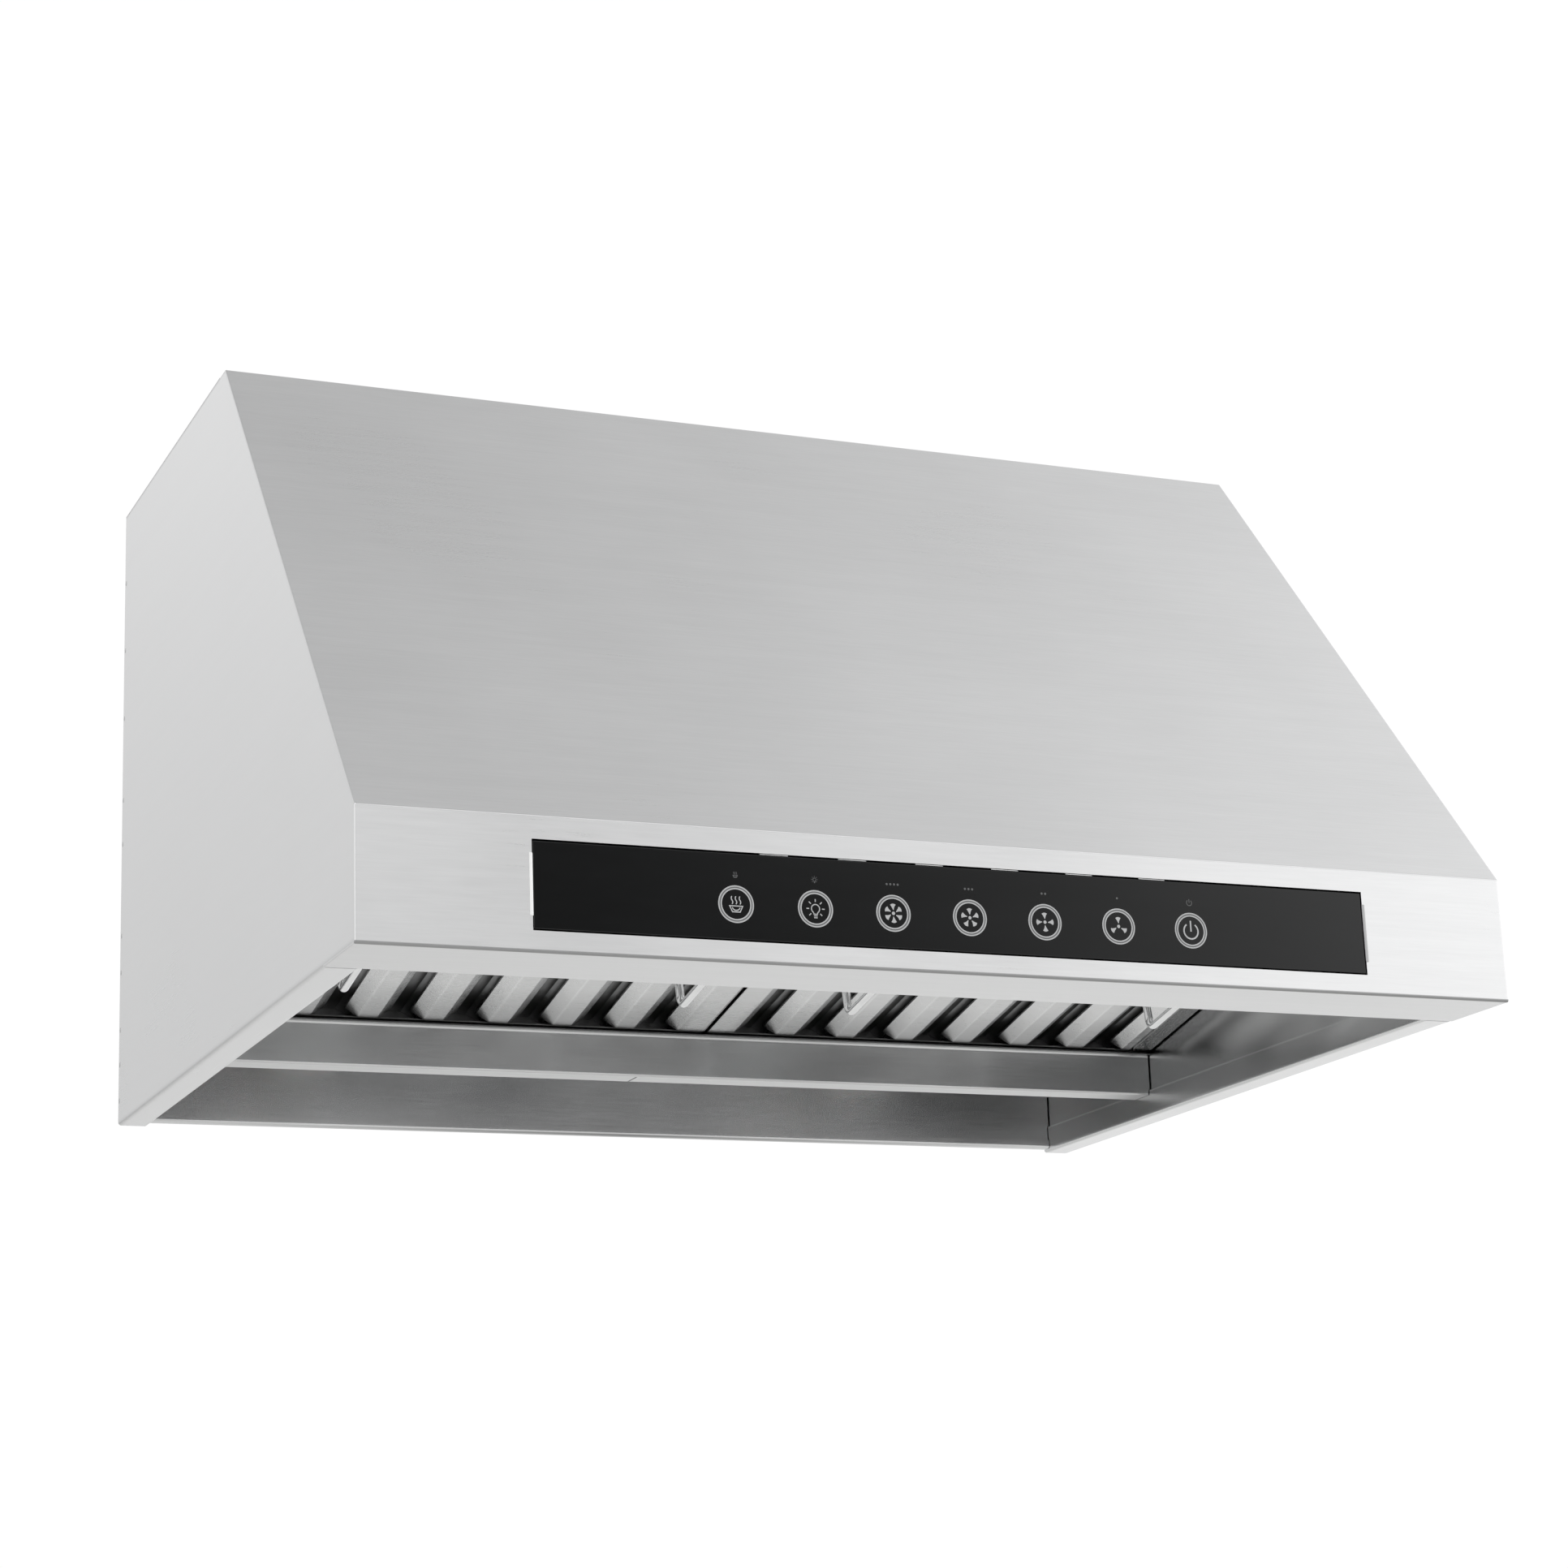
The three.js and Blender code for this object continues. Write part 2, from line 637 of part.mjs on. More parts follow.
function lampBracket() {
  const foot = LAMP.shelfZ + THIN_SHEET + GAP;
  const top = LAMP.socketTop + GAP + SHEET;
  const path = [[-52, foot], [-40, foot], [-40, top], [40, top], [40, foot], [52, foot]];
  return foldedY(path, SHEET, 1, -10, 10, 2);
}

// ---------------------------------------------------------------- blower

function scrollPath() {
  const { y, z, cutoffRadius, outletRadius, cutoffAngle, neckFront, neckTop } = BLOWER;
  const steps = 28;
  const spiral = [];
  for (let i = 0; i <= steps; i += 1) {
    const angle = THREE.MathUtils.degToRad(cutoffAngle + ((360 - cutoffAngle) * i) / steps);
    const radius = cutoffRadius + ((outletRadius - cutoffRadius) * i) / steps;
    spiral.push([y + radius * Math.cos(angle), z + radius * Math.sin(angle)]);
  }
  const tongue = roundCorners([[neckFront, neckTop], spiral[0], spiral[1]], 2.5, 5);
  return [...tongue, ...spiral.slice(2), [y + outletRadius, neckTop]];
}

function blowerHousing() {
  const { y, z, halfWidth, inletRadius, neckTop, neckFront, outletRadius } = BLOWER;
  const path = scrollPath();
  const wrap = extrudeX(sheetOutline(path, 1, 1), -halfWidth, halfWidth);
  const sides = [-1, 1].map((side) => {
    const outer = side * halfWidth;
    return extrudeX(path, Math.min(outer, outer - side), Math.max(outer, outer - side));
  });
  const flange = box(-halfWidth - 14, halfWidth + 14, neckFront - 13, y + outletRadius + 13,
    neckTop - 0.5, neckTop + 1.4);
  const mouth = box(-halfWidth + 1.5, halfWidth - 1.5, neckFront + 1.5, y + outletRadius - 1.5,
    neckTop - 6, neckTop + 6);
  const inlets = rod('x', inletRadius, -halfWidth - 5, halfWidth + 5, y, z);
  return cut(join(wrap, ...sides, flange), mouth, inlets);
}

function inletRing() {
  const face = BLOWER.halfWidth + GAP;
  return turnedX([
    [64, face - 16], [65, face - 16], [65.4, face - 4], [68, face], [84, face],
    [84, face + 1], [67.4, face + 1], [64.4, face - 3.6], [64, face - 16],
  ]);
}

function impeller() {
  const { radius, inner, halfWidth, blades, bore } = IMPELLER;
  const rings = [-1, 1].map((side) => {
    const outer = side * halfWidth;
    const ends = [outer, outer - side * 2].sort((a, b) => a - b);
    return turnedX([[inner, ends[0]], [radius, ends[0]], [radius, ends[1]], [inner, ends[1]],
      [inner, ends[0]]]);
  });
  const disc = turnedX([
    [bore, -12], [16, -12], [16, -1.5], [radius - 1, -1.5], [radius - 1, 1.5], [16, 1.5],
    [16, 12], [bore, 12], [bore, -12],
  ]);
  const bladeList = [];
  for (let i = 0; i < blades; i += 1) {
    const blade = box(1 - halfWidth, halfWidth - 1, -0.5, 0.5, -6.4, 6.4);
    blade.rotateX(THREE.MathUtils.degToRad(28));
    blade.translate(0, 0, (inner + radius) / 2);
    blade.rotateX((2 * Math.PI * i) / blades);
    bladeList.push(blade);
  }
  return join(disc, ...rings, ...bladeList);
}

function motorBody() {
  const bore = IMPELLER.bore;
  return turnedX([
    [bore, -100], [30, -100], [46, -94], [48, -90], [48, -44], [46, -38], [24, -34],
    [24, -26], [bore, -26], [bore, -100],
  ]);
}

function motorShaft() {
  return rod('x', 6, -98, 16, 0, 0);
}

function motorBracket() {
  const plate = -BLOWER.halfWidth - GAP;
  const back = plate - 4.5;
  const pieces = [
    rod('x', 32, back, back + 2, 0, 0),
    rod('x', 18, back + 1, -100 - GAP, 0, 0),
  ];
  for (let i = 0; i < 3; i += 1) {
    const turn = (2 * Math.PI * i) / 3 + Math.PI / 2;
    const arm = box(back, back + 2, -7, 7, 20, 94).rotateX(turn);
    const post = box(back + 1, plate, -7, 7, 86, 94).rotateX(turn);
    pieces.push(arm, post);
  }
  return join(...pieces);
}

function runCapacitor() {
  const start = BLOWER.halfWidth + 2;
  const end = start + CAPACITOR.length;
  const can = rod('x', CAPACITOR.radius, start, end, 0, 0);
  const tabs = [-5, 5].map((y) => box(end - 1, end + 8, y - 0.5, y + 0.5, -3, 3));
  return join(can, ...tabs);
}

function capacitorClip() {
  const face = BLOWER.halfWidth + GAP;
  const ring = turnedX([[15.4, 140], [17, 140], [17, 152], [15.4, 152], [15.4, 140]]);
  const strap = box(face, 152, -6, 6, -18.2, -16.4);
  const foot = box(face, face + 1.4, -6, 6, -20.4, -16.4);
  return join(ring, strap, foot);
}

// ---------------------------------------------------------------- duct outlet

function ductCollar() {
  const { halfX, front, rear, top, wall } = COLLAR;
  const flangeTop = UNDER_TOP;
  const tube = box(-halfX, halfX, front, rear, flangeTop - SHEET, top);
  const flange = box(-halfX - 13, halfX + 13, front - 11, rear + 11, flangeTop - SHEET, flangeTop);
  const bore = box(-halfX + wall, halfX - wall, front + wall, rear - wall, flangeTop - 9, top + 9);
  const stop = box(-60, 60, front + wall / 2, front + 7, DAMPER.z - 2, DAMPER.z - 0.8);
  const pinHoles = rod('x', DAMPER.pin + 0.4, -halfX - 5, halfX + 5, DAMPER.y, DAMPER.z, FEW_SIDES);
  return cut(join(cut(join(tube, flange), bore), stop), pinHoles);
}

function damperFlap() {
  const half = COLLAR.halfX - 2.2;
  const plate = box(-half, half, COLLAR.front + 2.7 - DAMPER.y, -1, -0.4, 0.4);
  const curl = rod('x', 2.9, -half, half, 0, 0, FEW_SIDES);
  const rib = box(-half + 20, half - 20, -40, -36, -0.2, 2.6);
  return cut(join(plate, curl, rib), rod('x', DAMPER.pin + 0.3, -half - 5, half + 5, 0, 0, FEW_SIDES));
}

function damperPin() {
  return rod('x', DAMPER.pin, -COLLAR.halfX - 2, COLLAR.halfX + 2, 0, 0, FEW_SIDES);
}

// ---------------------------------------------------------------- electrical boxes

// A sheet box open at the front, under the top panel.
function enclosure({ x0, x1, front, rear, bottom }) {
  const shell = box(x0, x1, front, rear, bottom, UNDER_TOP);
  const hollow = box(
    x0 + SHEET, x1 - SHEET, front - 5, rear - SHEET, bottom + SHEET, UNDER_TOP - SHEET,
  );
  return cut(shell, hollow);
}

function enclosureCover({ x0, x1, front, bottom }) {
  const plate = box(x0, x1, front - GAP - SHEET, front - GAP, bottom, UNDER_TOP);
  const lip = box(x0 + 2, x1 - 2, front - 1, front + 6, bottom + 1.8, bottom + 3);
  return join(plate, lip);
}

function junctionBox() {
  const entry = rod('z', 11, UNDER_TOP - 5, UNDER_TOP + 5, CABLE.x, CABLE.y);
  const floor = JUNCTION_BOX.bottom;
  const leadHole = rod('z', CABLE.radius + 1.5, floor - 5, floor + 7, CABLE.x, CABLE.y);
  return cut(enclosure(JUNCTION_BOX), entry, leadHole);
}

function cableBushing() {
  const wall = UNDER_TOP - SHEET;
  return turned([
    [7.5, wall - 6], [15, wall - 6], [15, wall - GAP], [10.4, wall - GAP],
    [10.4, HEIGHT + 4], [7.5, HEIGHT + 4], [7.5, wall - 6],
  ]);
}

function motorCable() {
  const route = new THREE.CatmullRomCurve3([
    [CABLE.x, CABLE.y, 404],
    [CABLE.x, CABLE.y, 372],
    [CABLE.x + 18, CABLE.y - 40, 330],
    [-215, 478, 296],
    [-160, 442, 290],
    [-129.6, 438, 290],
  ].map((point) => new THREE.Vector3(...point)));
  const section = new THREE.Shape();
  section.absarc(0, 0, CABLE.radius, 0, 2 * Math.PI, false);
  return new THREE.ExtrudeGeometry(section, {
    extrudePath: route,
    steps: 20,
    curveSegments: 4,
    bevelEnabled: false,
  });
}

// ---------------------------------------------------------------- assembly

const hood = new THREE.Group();
hood.name = 'range_hood';
const cabinet = new THREE.Group();
cabinet.position.set(0, -MOUNT_Y, -HEIGHT);
hood.add(cabinet);

const panel = sidePanel();
cabinet.add(
  part('canopy_front', canopyFront(), 'steel'),
  part('side_panel_right', panel, 'steel'),
  part('side_panel_left', mirrored(panel), 'steel'),
  part('top_panel', topPanel(), 'steel'),
  part('back_panel', backPanel(), 'steel'),
);

const innerWall = innerSideWall();
cabinet.add(
  part('inner_wall_right', innerWall, 'steel'),
  part('inner_wall_left', mirrored(innerWall), 'steel'),
  part('inner_wall_back', innerBackWall(), 'steel'),
  part('light_panel', lightPanel(), 'steel'),
  part('grease_trough', greaseTrough(), 'steel'),
  part('lamp_shelf', lampShelf(), 'steel'),
);

const sloping = slopingGroup();
cabinet.add(sloping);
const ledge = sideLedge();
sloping.add(
  part('side_ledge_right', ledge, 'steel'),
  part('side_ledge_left', mirrored(ledge), 'steel'),
);
for (const name of ['left', 'right']) {
  sloping.add(part(`filter_${name}`, filterBody(name), 'steel'));
  HANDLE.centres[name].forEach((x, i) => {
    const handle = part(`filter_${name}_handle_${i + 1}`, handleWire(), 'chrome');
    handle.position.x = x;
    sloping.add(handle);
  });
}

cabinet.add(
  part('control_glass', controlGlass(), 'blackGlass'),
  part('control_board', controlBoard(), 'board'),
  part('control_housing', controlHousing(), 'blackPlastic'),
);

for (const [name, side] of [['left', -1], ['right', 1]]) {
  const pieces = [
    [part(`light_bezel_${name}`, lightBezel(), 'chrome'), LIGHT],
    [part(`light_lens_${name}`, lightLens(), 'frosted'), LIGHT],
    [part(`light_body_${name}`, lightBody(), 'aluminium'), LIGHT],
    [part(`warming_lamp_${name}`, warmingLamp(), 'lampGlass'), LAMP],
    [part(`lamp_socket_${name}`, lampSocket(), 'porcelain'), LAMP],
    [part(`lamp_bracket_${name}`, lampBracket(), 'galvanised'), LAMP],
  ];
  for (const [mesh, place] of pieces) {
    mesh.position.set(side * place.x, place.y, 0);
    cabinet.add(mesh);
  }
}

const blower = new THREE.Group();
blower.position.set(0, BLOWER.y, BLOWER.z);
cabinet.add(part('blower_housing', blowerHousing(), 'galvanised'), blower);
const ring = inletRing();
blower.add(
  part('inlet_ring_right', ring, 'galvanised'),
  part('inlet_ring_left', mirrored(ring), 'galvanised'),
  part('impeller', impeller(), 'galvanised'),
  part('motor_body', motorBody(), 'motor'),
  part('motor_shaft', motorShaft(), 'chrome'),
  part('motor_bracket', motorBracket(), 'galvanised'),
);

const capacitor = new THREE.Group();
capacitor.position.set(0, CAPACITOR.y, CAPACITOR.z);
capacitor.add(
  part('run_capacitor', runCapacitor(), 'aluminium'),
  part('capacitor_clip', capacitorClip(), 'galvanised'),
);
cabinet.add(capacitor);

const damper = new THREE.Group();
damper.position.set(0, DAMPER.y, DAMPER.z);
damper.add(
  part('damper_flap', damperFlap(), 'galvanised'),
  part('damper_pin', damperPin(), 'chrome'),
);
cabinet.add(part('duct_collar', ductCollar(), 'galvanised'), damper);

const bushing = part('cable_bushing', cableBushing(), 'blackPlastic');
bushing.position.set(CABLE.x, CABLE.y, 0);
cabinet.add(
  part('junction_box', junctionBox(), 'galvanised'),
  part('junction_box_cover', enclosureCover(JUNCTION_BOX), 'galvanised'),
  part('power_unit', enclosure(POWER_UNIT), 'galvanised'),
  part('power_unit_cover', enclosureCover(POWER_UNIT), 'galvanised'),
  part('motor_cable', motorCable(), 'blackPlastic'),
  bushing,
);

export default hood;
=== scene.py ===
import math

import bmesh
import bpy
from mathutils import Matrix, Vector


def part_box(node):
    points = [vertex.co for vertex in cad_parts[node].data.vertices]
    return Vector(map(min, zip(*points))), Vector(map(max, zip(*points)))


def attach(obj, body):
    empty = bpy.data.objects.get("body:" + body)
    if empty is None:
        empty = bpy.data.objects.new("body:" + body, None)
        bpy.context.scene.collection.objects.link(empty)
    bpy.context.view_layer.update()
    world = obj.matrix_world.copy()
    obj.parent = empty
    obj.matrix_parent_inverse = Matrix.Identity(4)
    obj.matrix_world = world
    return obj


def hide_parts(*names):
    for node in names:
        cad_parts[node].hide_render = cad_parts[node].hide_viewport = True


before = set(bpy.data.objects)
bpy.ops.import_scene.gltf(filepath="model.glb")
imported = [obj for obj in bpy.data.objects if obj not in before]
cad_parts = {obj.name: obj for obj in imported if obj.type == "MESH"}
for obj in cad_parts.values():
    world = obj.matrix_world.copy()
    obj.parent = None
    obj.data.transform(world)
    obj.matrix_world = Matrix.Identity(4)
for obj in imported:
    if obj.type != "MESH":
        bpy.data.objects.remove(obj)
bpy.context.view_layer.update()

# Under cabinet range hood. Shapes are worked out in the cabinet frame: millimetres, x = 0 in the
# middle, y = 0 on the front band, z = 0 under the bottom flange. Each piece is then placed in
# the row frame, in metres.

MM = 0.001
FRONT_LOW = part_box("canopy_front")[0]
CABINET = Matrix.Translation((0, FRONT_LOW.y, FRONT_LOW.z)) @ Matrix.Scale(MM, 4)


def span(node):
    """A CAD node's lowest and highest corners in the cabinet frame."""
    back = CABINET.inverted()
    low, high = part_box(node)
    return back @ low, back @ high


# ---- driving sizes

HALF_WIDTH = span("canopy_front")[1].x
HEIGHT = span("canopy_front")[1].z
DEPTH = span("back_panel")[1].y
TOP_FLANGE = 15
TOP_FRONT = span("canopy_front")[1].y - TOP_FLANGE
BAND_HEIGHT = 80
SHEET = 1.2
THIN_SHEET = 0.8
SEAM = 0.1
SHELL_BEVEL = 0.15
# Tools that cut a sheet reach PAST beyond it.
PAST = 5

SIDES = (("left", -1), ("right", 1))

RETURN_GAP = 0.4
RETURN_X = -span("grease_trough")[0].x
FLANGE_X = RETURN_X + RETURN_GAP
LINER_X = span("inner_wall_right")[0].x
LIP_DEPTH = 66
RETURN_HEIGHT = 19.3
REAR_WALL_Y = span("back_panel")[0].y
BACK_FOOT = 2
BACK_HEM_TOP = 9
HEM_PAINTED_SHADE = 0.65
# Above STRAIGHT_Z the side and back sheets have no flange, hem or cut corner.
STRAIGHT_Z = 25
KEYHOLE_X = 250
KEYHOLE_Z = 395
KEYHOLE_RADIUS = 7
KEYHOLE_SLOT_HALF = 3
KEYHOLE_TOP = 412
WELD_HEIGHTS = (17, 43, 68, 110, 137, 205, 238, 300, 352, 404)
SLOPE = math.atan2(HEIGHT - BAND_HEIGHT, TOP_FRONT)

GLASS_LOW, GLASS_HIGH = span("control_glass")
WINDOW_GAP = 1.0
WINDOW_END_GAP = 0.7
TAB_OUT = 0.65
CLIPS = 6

FILTER_SLOPE = math.atan(0.215)
FILTER_PIVOT = Vector((0, 429.5, 48.1))
SLOPING = CABINET @ Matrix.Translation(FILTER_PIVOT) @ Matrix.Rotation(-FILTER_SLOPE, 4, "X")
FILTER_LENGTH = 300
FILTER_BEHIND = 20
FILTER_HEIGHT = 16
FILTER_INNER_X = span("filter_right")[0].x
FILTER_OUTER_X = span("filter_right")[1].x
RAIL_STEP = 0.6
RAIL_SHEET = 1.2
RAIL_FLANGE = 7
SLATS = 8
SLAT_PITCH = 46.6
SLAT_HALF = 16
SLAT_FLANK = 9.2
SLAT_FLAT = SLAT_HALF - SLAT_FLANK
SLAT_SHEET = 0.7
SLAT_BENDS = [0.7, 1.5, 1.5, 0.7]
SLAT_FRONT = 1.4 - FILTER_LENGTH
SLAT_END = -0.8
# The lower slats darken towards their rear ends over these lengths: painted shade.
SLAT_REAR_SHADE = 14
SLAT_FADE = 60
# FIRST_SLAT is the x of each filter's leftmost slat. Handles are measured from the pivot forwards.
FIRST_SLAT = {"left": -341.2, "right": 14}
HANDLE_X = {"left": (-302, -69), "right": (53.2, 286.2)}
HANDLE_WIRE = 2.8
HANDLE_REAR = 125
HANDLE_SPAN = 96
HANDLE_AXIS = 5
HANDLE_GRIP = 38
# A lug's top edge is level as far as LUG_STEP and then rises along a slat's flank to LUG_TOP.
LUG_RADIUS = 5.5
LUG_INSET = 6.5
LUG_TOP = 4.1
LUG_STEP = 1.1

LEDGE_GAP = 1.7
CORNER_GAP = 0.8
TROUGH_SEAM = 308
TROUGH_LIP_Z = 45.4
TROUGH_LIP = 5.1
LIP_PAINTED_SHADE = 0.75

LIGHT = Vector((190, 99, 110))
LIGHT_HOLE = 26
LAMP = Vector((230, 533, 84))
LAMP_HOLE = 36

KEYS = 7
KEY_PITCH = 50.2
KEY_Z = 34.7
RING_OUTER = (10.42, 11.2)
RING_INNER = (8.85, 9.62)
MARK_Z = 52.3

SCREW_COLUMNS = (-340, -170, 0, 170, 340)
SCREW_ROWS = (14, 440)
EDGE_SCREW_X = 366
EDGE_SCREW_ROWS = (110, 220, 330)


# ---- mesh tools

def space(axis, along, a, b):
    """A point from its place along an axis and its two other coordinates."""
    return {"x": (along, a, b), "y": (a, along, b), "z": (a, b, along)}[axis]


def arc(centre, radius, start, end, steps=40):
    """Points along a circle, from one angle in degrees to another."""
    spread = [math.radians(start + (end - start) * k / steps) for k in range(steps + 1)]
    return [(centre[0] + radius * math.cos(t), centre[1] + radius * math.sin(t)) for t in spread]


def circle(centre, radius, steps):
    return arc(centre, radius, 0, 360, steps)[:-1]


def join_rows(bm, rows):
    """Faces between each row of points and the next. A row closes on itself."""
    size = len(rows[0])
    for near, far in zip(rows, rows[1:]):
        for k in range(size):
            after = (k + 1) % size
            bm.faces.new((near[k], near[after], far[after], far[k]))


def facing_out(bm):
    bmesh.ops.recalc_face_normals(bm, faces=bm.faces)
    return bm


def mesh_of(bm, name):
    mesh = bpy.data.meshes.new(name)
    bm.to_mesh(mesh)
    bm.free()
    return mesh


def in_scene(name, data):
    thing = bpy.data.objects.new(name, data)
    bpy.context.scene.collection.objects.link(thing)
    return thing


def rounded(path, radii, steps=7, support=2.5, marks=None):
    """An open path with arcs at its inner corners. Each point carries its bend's mark, 1 unless
    given, and 0 on the flat beside it, which the materials use for painted shade and painted
    highlight along the bends."""
    corners = [Vector(p) for p in path]
    marks = marks or [1.0] * len(radii)
    points = [(corners[0], 1.0)]
    for i in range(1, len(corners) - 1):
        corner = corners[i]
        into = (corner - corners[i - 1]).normalized()
        out = (corners[i + 1] - corner).normalized()
        turn = math.atan2(into.x * out.y - into.y * out.x, into.dot(out))
        setback = radii[i - 1] * math.tan(abs(turn) / 2)
        start = corner - into * setback
        side = math.copysign(1, turn)
        centre = start + Vector((-into.y, into.x)) * radii[i - 1] * side
        if (start - points[-1][0]).length > 3 * support:
            if i == 1:
                points.append((points[-1][0] + into * support, 0.0))
            points.append((start - into * support, 0.0))
        for step in range(steps + 1):
            spoke = start - centre
            spoke.rotate(Matrix.Rotation(turn * step / steps, 2))
            points.append((centre + spoke, marks[i - 1]))
        ahead = (corners[i + 1] - points[-1][0]).length
        if ahead > 3 * support:
            points.append((points[-1][0] + out * support, 0.0))
    last = corners[-1]
    before = points[-1][0]
    if (last - before).length > 3 * support:
        points.append((last + (before - last).normalized() * support, 0.0))
    points.append((last, 1.0))
    return points


def normals_of(points, side):
    """At each point of a path, the mitred direction into the sheet."""
    result = []
    for i, (here, _) in enumerate(points):
        before = points[max(i - 1, 0)][0]
        after = points[min(i + 1, len(points) - 1)][0]
        into = (after - here if i == 0 else here - before).normalized()
        out = (into if i == len(points) - 1 else after - here).normalized()
        mitre = Vector((-into.y - out.y, into.x + out.x)).normalized()
        result.append(mitre * side / max(mitre.dot(Vector((-into.y, into.x))), 0.2))
    return result


def folded(path, radii, thickness, side, start, end, axis="x", end_round=0.0, support=2.5, marks=None):
    """A folded sheet: its outer skin follows the path, its material lies to the left of it
    where side is 1, and the whole is pulled along the axis from start to end."""
    points = rounded(path, radii, support=support, marks=marks)
    inward = normals_of(points, side)
    stations = [(start, 0.0, 1.0), (start + support, 0.0, 0.0)]
    if end - start > 200:
        stations.append(((start + end) / 2, 0.0, 0.0))
    stations += [(end - support, 0.0, 0.0), (end, 0.0, 1.0)]
    if end_round:
        steps = 4
        quarter = [math.pi / 2 * k / steps for k in range(steps + 1)]
        curve = [(end_round * (1 - math.sin(t)), end_round * (1 - math.cos(t))) for t in quarter]
        stations = [(start + d, inset, 0.0) for d, inset in reversed(curve)]
        stations += [(start + end_round + support, 0.0, 0.0), ((start + end) / 2, 0.0, 0.0)]
        stations += [(end - end_round - support, 0.0, 0.0)]
        stations += [(end - d, inset, 0.0) for d, inset in curve]
    bm = bmesh.new()
    bend_light_mark = bm.verts.layers.float.new("edge")
    rows = []
    for along, inset, weight in stations:
        outer = []
        inner = []
        for (point, bend), normal in zip(points, inward):
            for shift, row in ((inset, outer), (thickness, inner)):
                place = point + normal * shift
                vert = bm.verts.new(space(axis, along, place.x, place.y))
                vert[bend_light_mark] = max(bend, weight)
                row.append(vert)
        rows.append(outer + inner[::-1])
    join_rows(bm, rows)
    size = len(rows[0])
    for row in (rows[0], rows[-1]):
        for k in range(size // 2 - 1):
            bm.faces.new((row[k], row[k + 1], row[size - 2 - k], row[size - 1 - k]))
    return facing_out(bm)


def block(corner, opposite):
    """A box between two opposite corners, to be cut or bevelled."""
    low = Vector(tuple(map(min, corner, opposite)))
    high = Vector(tuple(map(max, corner, opposite)))
    bm = bmesh.new()
    place = Matrix.Translation((low + high) / 2) @ Matrix.Diagonal((*(high - low), 1))
    bmesh.ops.create_cube(bm, size=1, matrix=place)
    return bm


def both_sides(inner, outer, low, high):
    """Two boxes, on the right and on the left, to cut a sheet's corners. inner and outer are
    their x, low and high their (y, z)."""
    return [block((side * inner, *low), (side * outer, *high)) for side in (1, -1)]


def handed(bm, side):
    """A solid made for the right, or its mirror image where side is -1."""
    if side < 0:
        bm.transform(Matrix.Diagonal((-1, 1, 1, 1)))
        bmesh.ops.reverse_faces(bm, faces=bm.faces)
    return bm


def paint_shade(bm, amount):
    """Marks how much painted shade each point of a piece carries, from 0 to 1."""
    layer = bm.verts.layers.float.new("stain_and_painted_shade")
    for vert in bm.verts:
        vert[layer] = amount(vert.co)
    return bm


def prism(outline, start, end, axis="y"):
    """A flat outline pulled along an axis."""
    bm = bmesh.new()
    near, far = ([bm.verts.new(space(axis, along, *p)) for p in outline] for along in (start, end))
    bm.faces.new(near)
    bm.faces.new(far[::-1])
    join_rows(bm, (near, far))
    return facing_out(bm)


def turned(profile, centre=(0, 0, 0), axis="z", segments=64):
    """A turned solid: profile points are (radius, height) and the axis runs through centre."""
    bm = bmesh.new()
    rows = []
    for radius, height in profile:
        if radius < 1e-6:
            rows.append([bm.verts.new(Vector(space(axis, height, 0, 0)) + Vector(centre))])
            continue
        places = [Vector(space(axis, height, *p)) for p in circle((0, 0), radius, segments)]
        rows.append([bm.verts.new(place + Vector(centre)) for place in places])
    for near, far in zip(rows, rows[1:]):
        for k in range(segments):
            after = (k + 1) % segments
            corners = [near[k % len(near)], near[after % len(near)],
                       far[after % len(far)], far[k % len(far)]]
            corners = list(dict.fromkeys(corners))
            if len(corners) > 2:
                bm.faces.new(corners)
    if len(rows[0]) > 1 and len(rows[-1]) > 1:
        bmesh.ops.remove_doubles(bm, verts=bm.verts, dist=1e-5)
    return facing_out(bm)


def drill(radius, start, end, centre, axis="z", segments=64):
    """A round bar from start to end along an axis through centre, to cut a hole with."""
    return turned([(0, start), (radius, start), (radius, end), (0, end)], centre, axis, segments)


def tube(points, radius, sides):
    """A round bar along a list of points, with slightly domed ends."""
    bm = bmesh.new()
    places = [Vector(p) for p in points]
    rows = []
    across = None
    for i, here in enumerate(places):
        before = places[max(i - 1, 0)]
        after = places[min(i + 1, len(places) - 1)]
        along = (after - before).normalized()
        if across is None:
            across = along.orthogonal().normalized()
        across = (across - along * across.dot(along)).normalized()
        other = along.cross(across)
        rows.append([bm.verts.new(here + across * a + other * b)
                     for a, b in circle((0, 0), radius, sides)])
    join_rows(bm, rows)
    for row, here, beyond in ((rows[0], places[0], places[1]), (rows[-1], places[-1], places[-2])):
        tip = bm.verts.new(here + (here - beyond).normalized() * radius * 0.35)
        for k in range(sides):
            bm.faces.new((row[k], row[(k + 1) % sides], tip))
    return facing_out(bm)


def together(*parts):
    """Several solids in one mesh."""
    whole = bmesh.new()
    for bm in parts:
        mesh = mesh_of(bm, "part")
        whole.from_mesh(mesh)
        bpy.data.meshes.remove(mesh)
    return whole


def cut(bm, *tools, keep_inside=False):
    """The solid with the tools cut out of it, or only what lies inside them."""
    whole, *cutters = (in_scene("stand_in", mesh_of(solid, "stand_in")) for solid in (bm, *tools))
    for cutter in cutters:
        step = whole.modifiers.new("cut", "BOOLEAN")
        step.operation = "INTERSECT" if keep_inside else "DIFFERENCE"
        step.solver = "EXACT"
        step.object = cutter
    graph = bpy.context.evaluated_depsgraph_get()
    mesh = bpy.data.meshes.new_from_object(whole.evaluated_get(graph))
    result = bmesh.new()
    result.from_mesh(mesh)
    bpy.data.meshes.remove(mesh)
    for thing in (whole, *cutters):
        used = thing.data
        bpy.data.objects.remove(thing)
        bpy.data.meshes.remove(used)
    return result


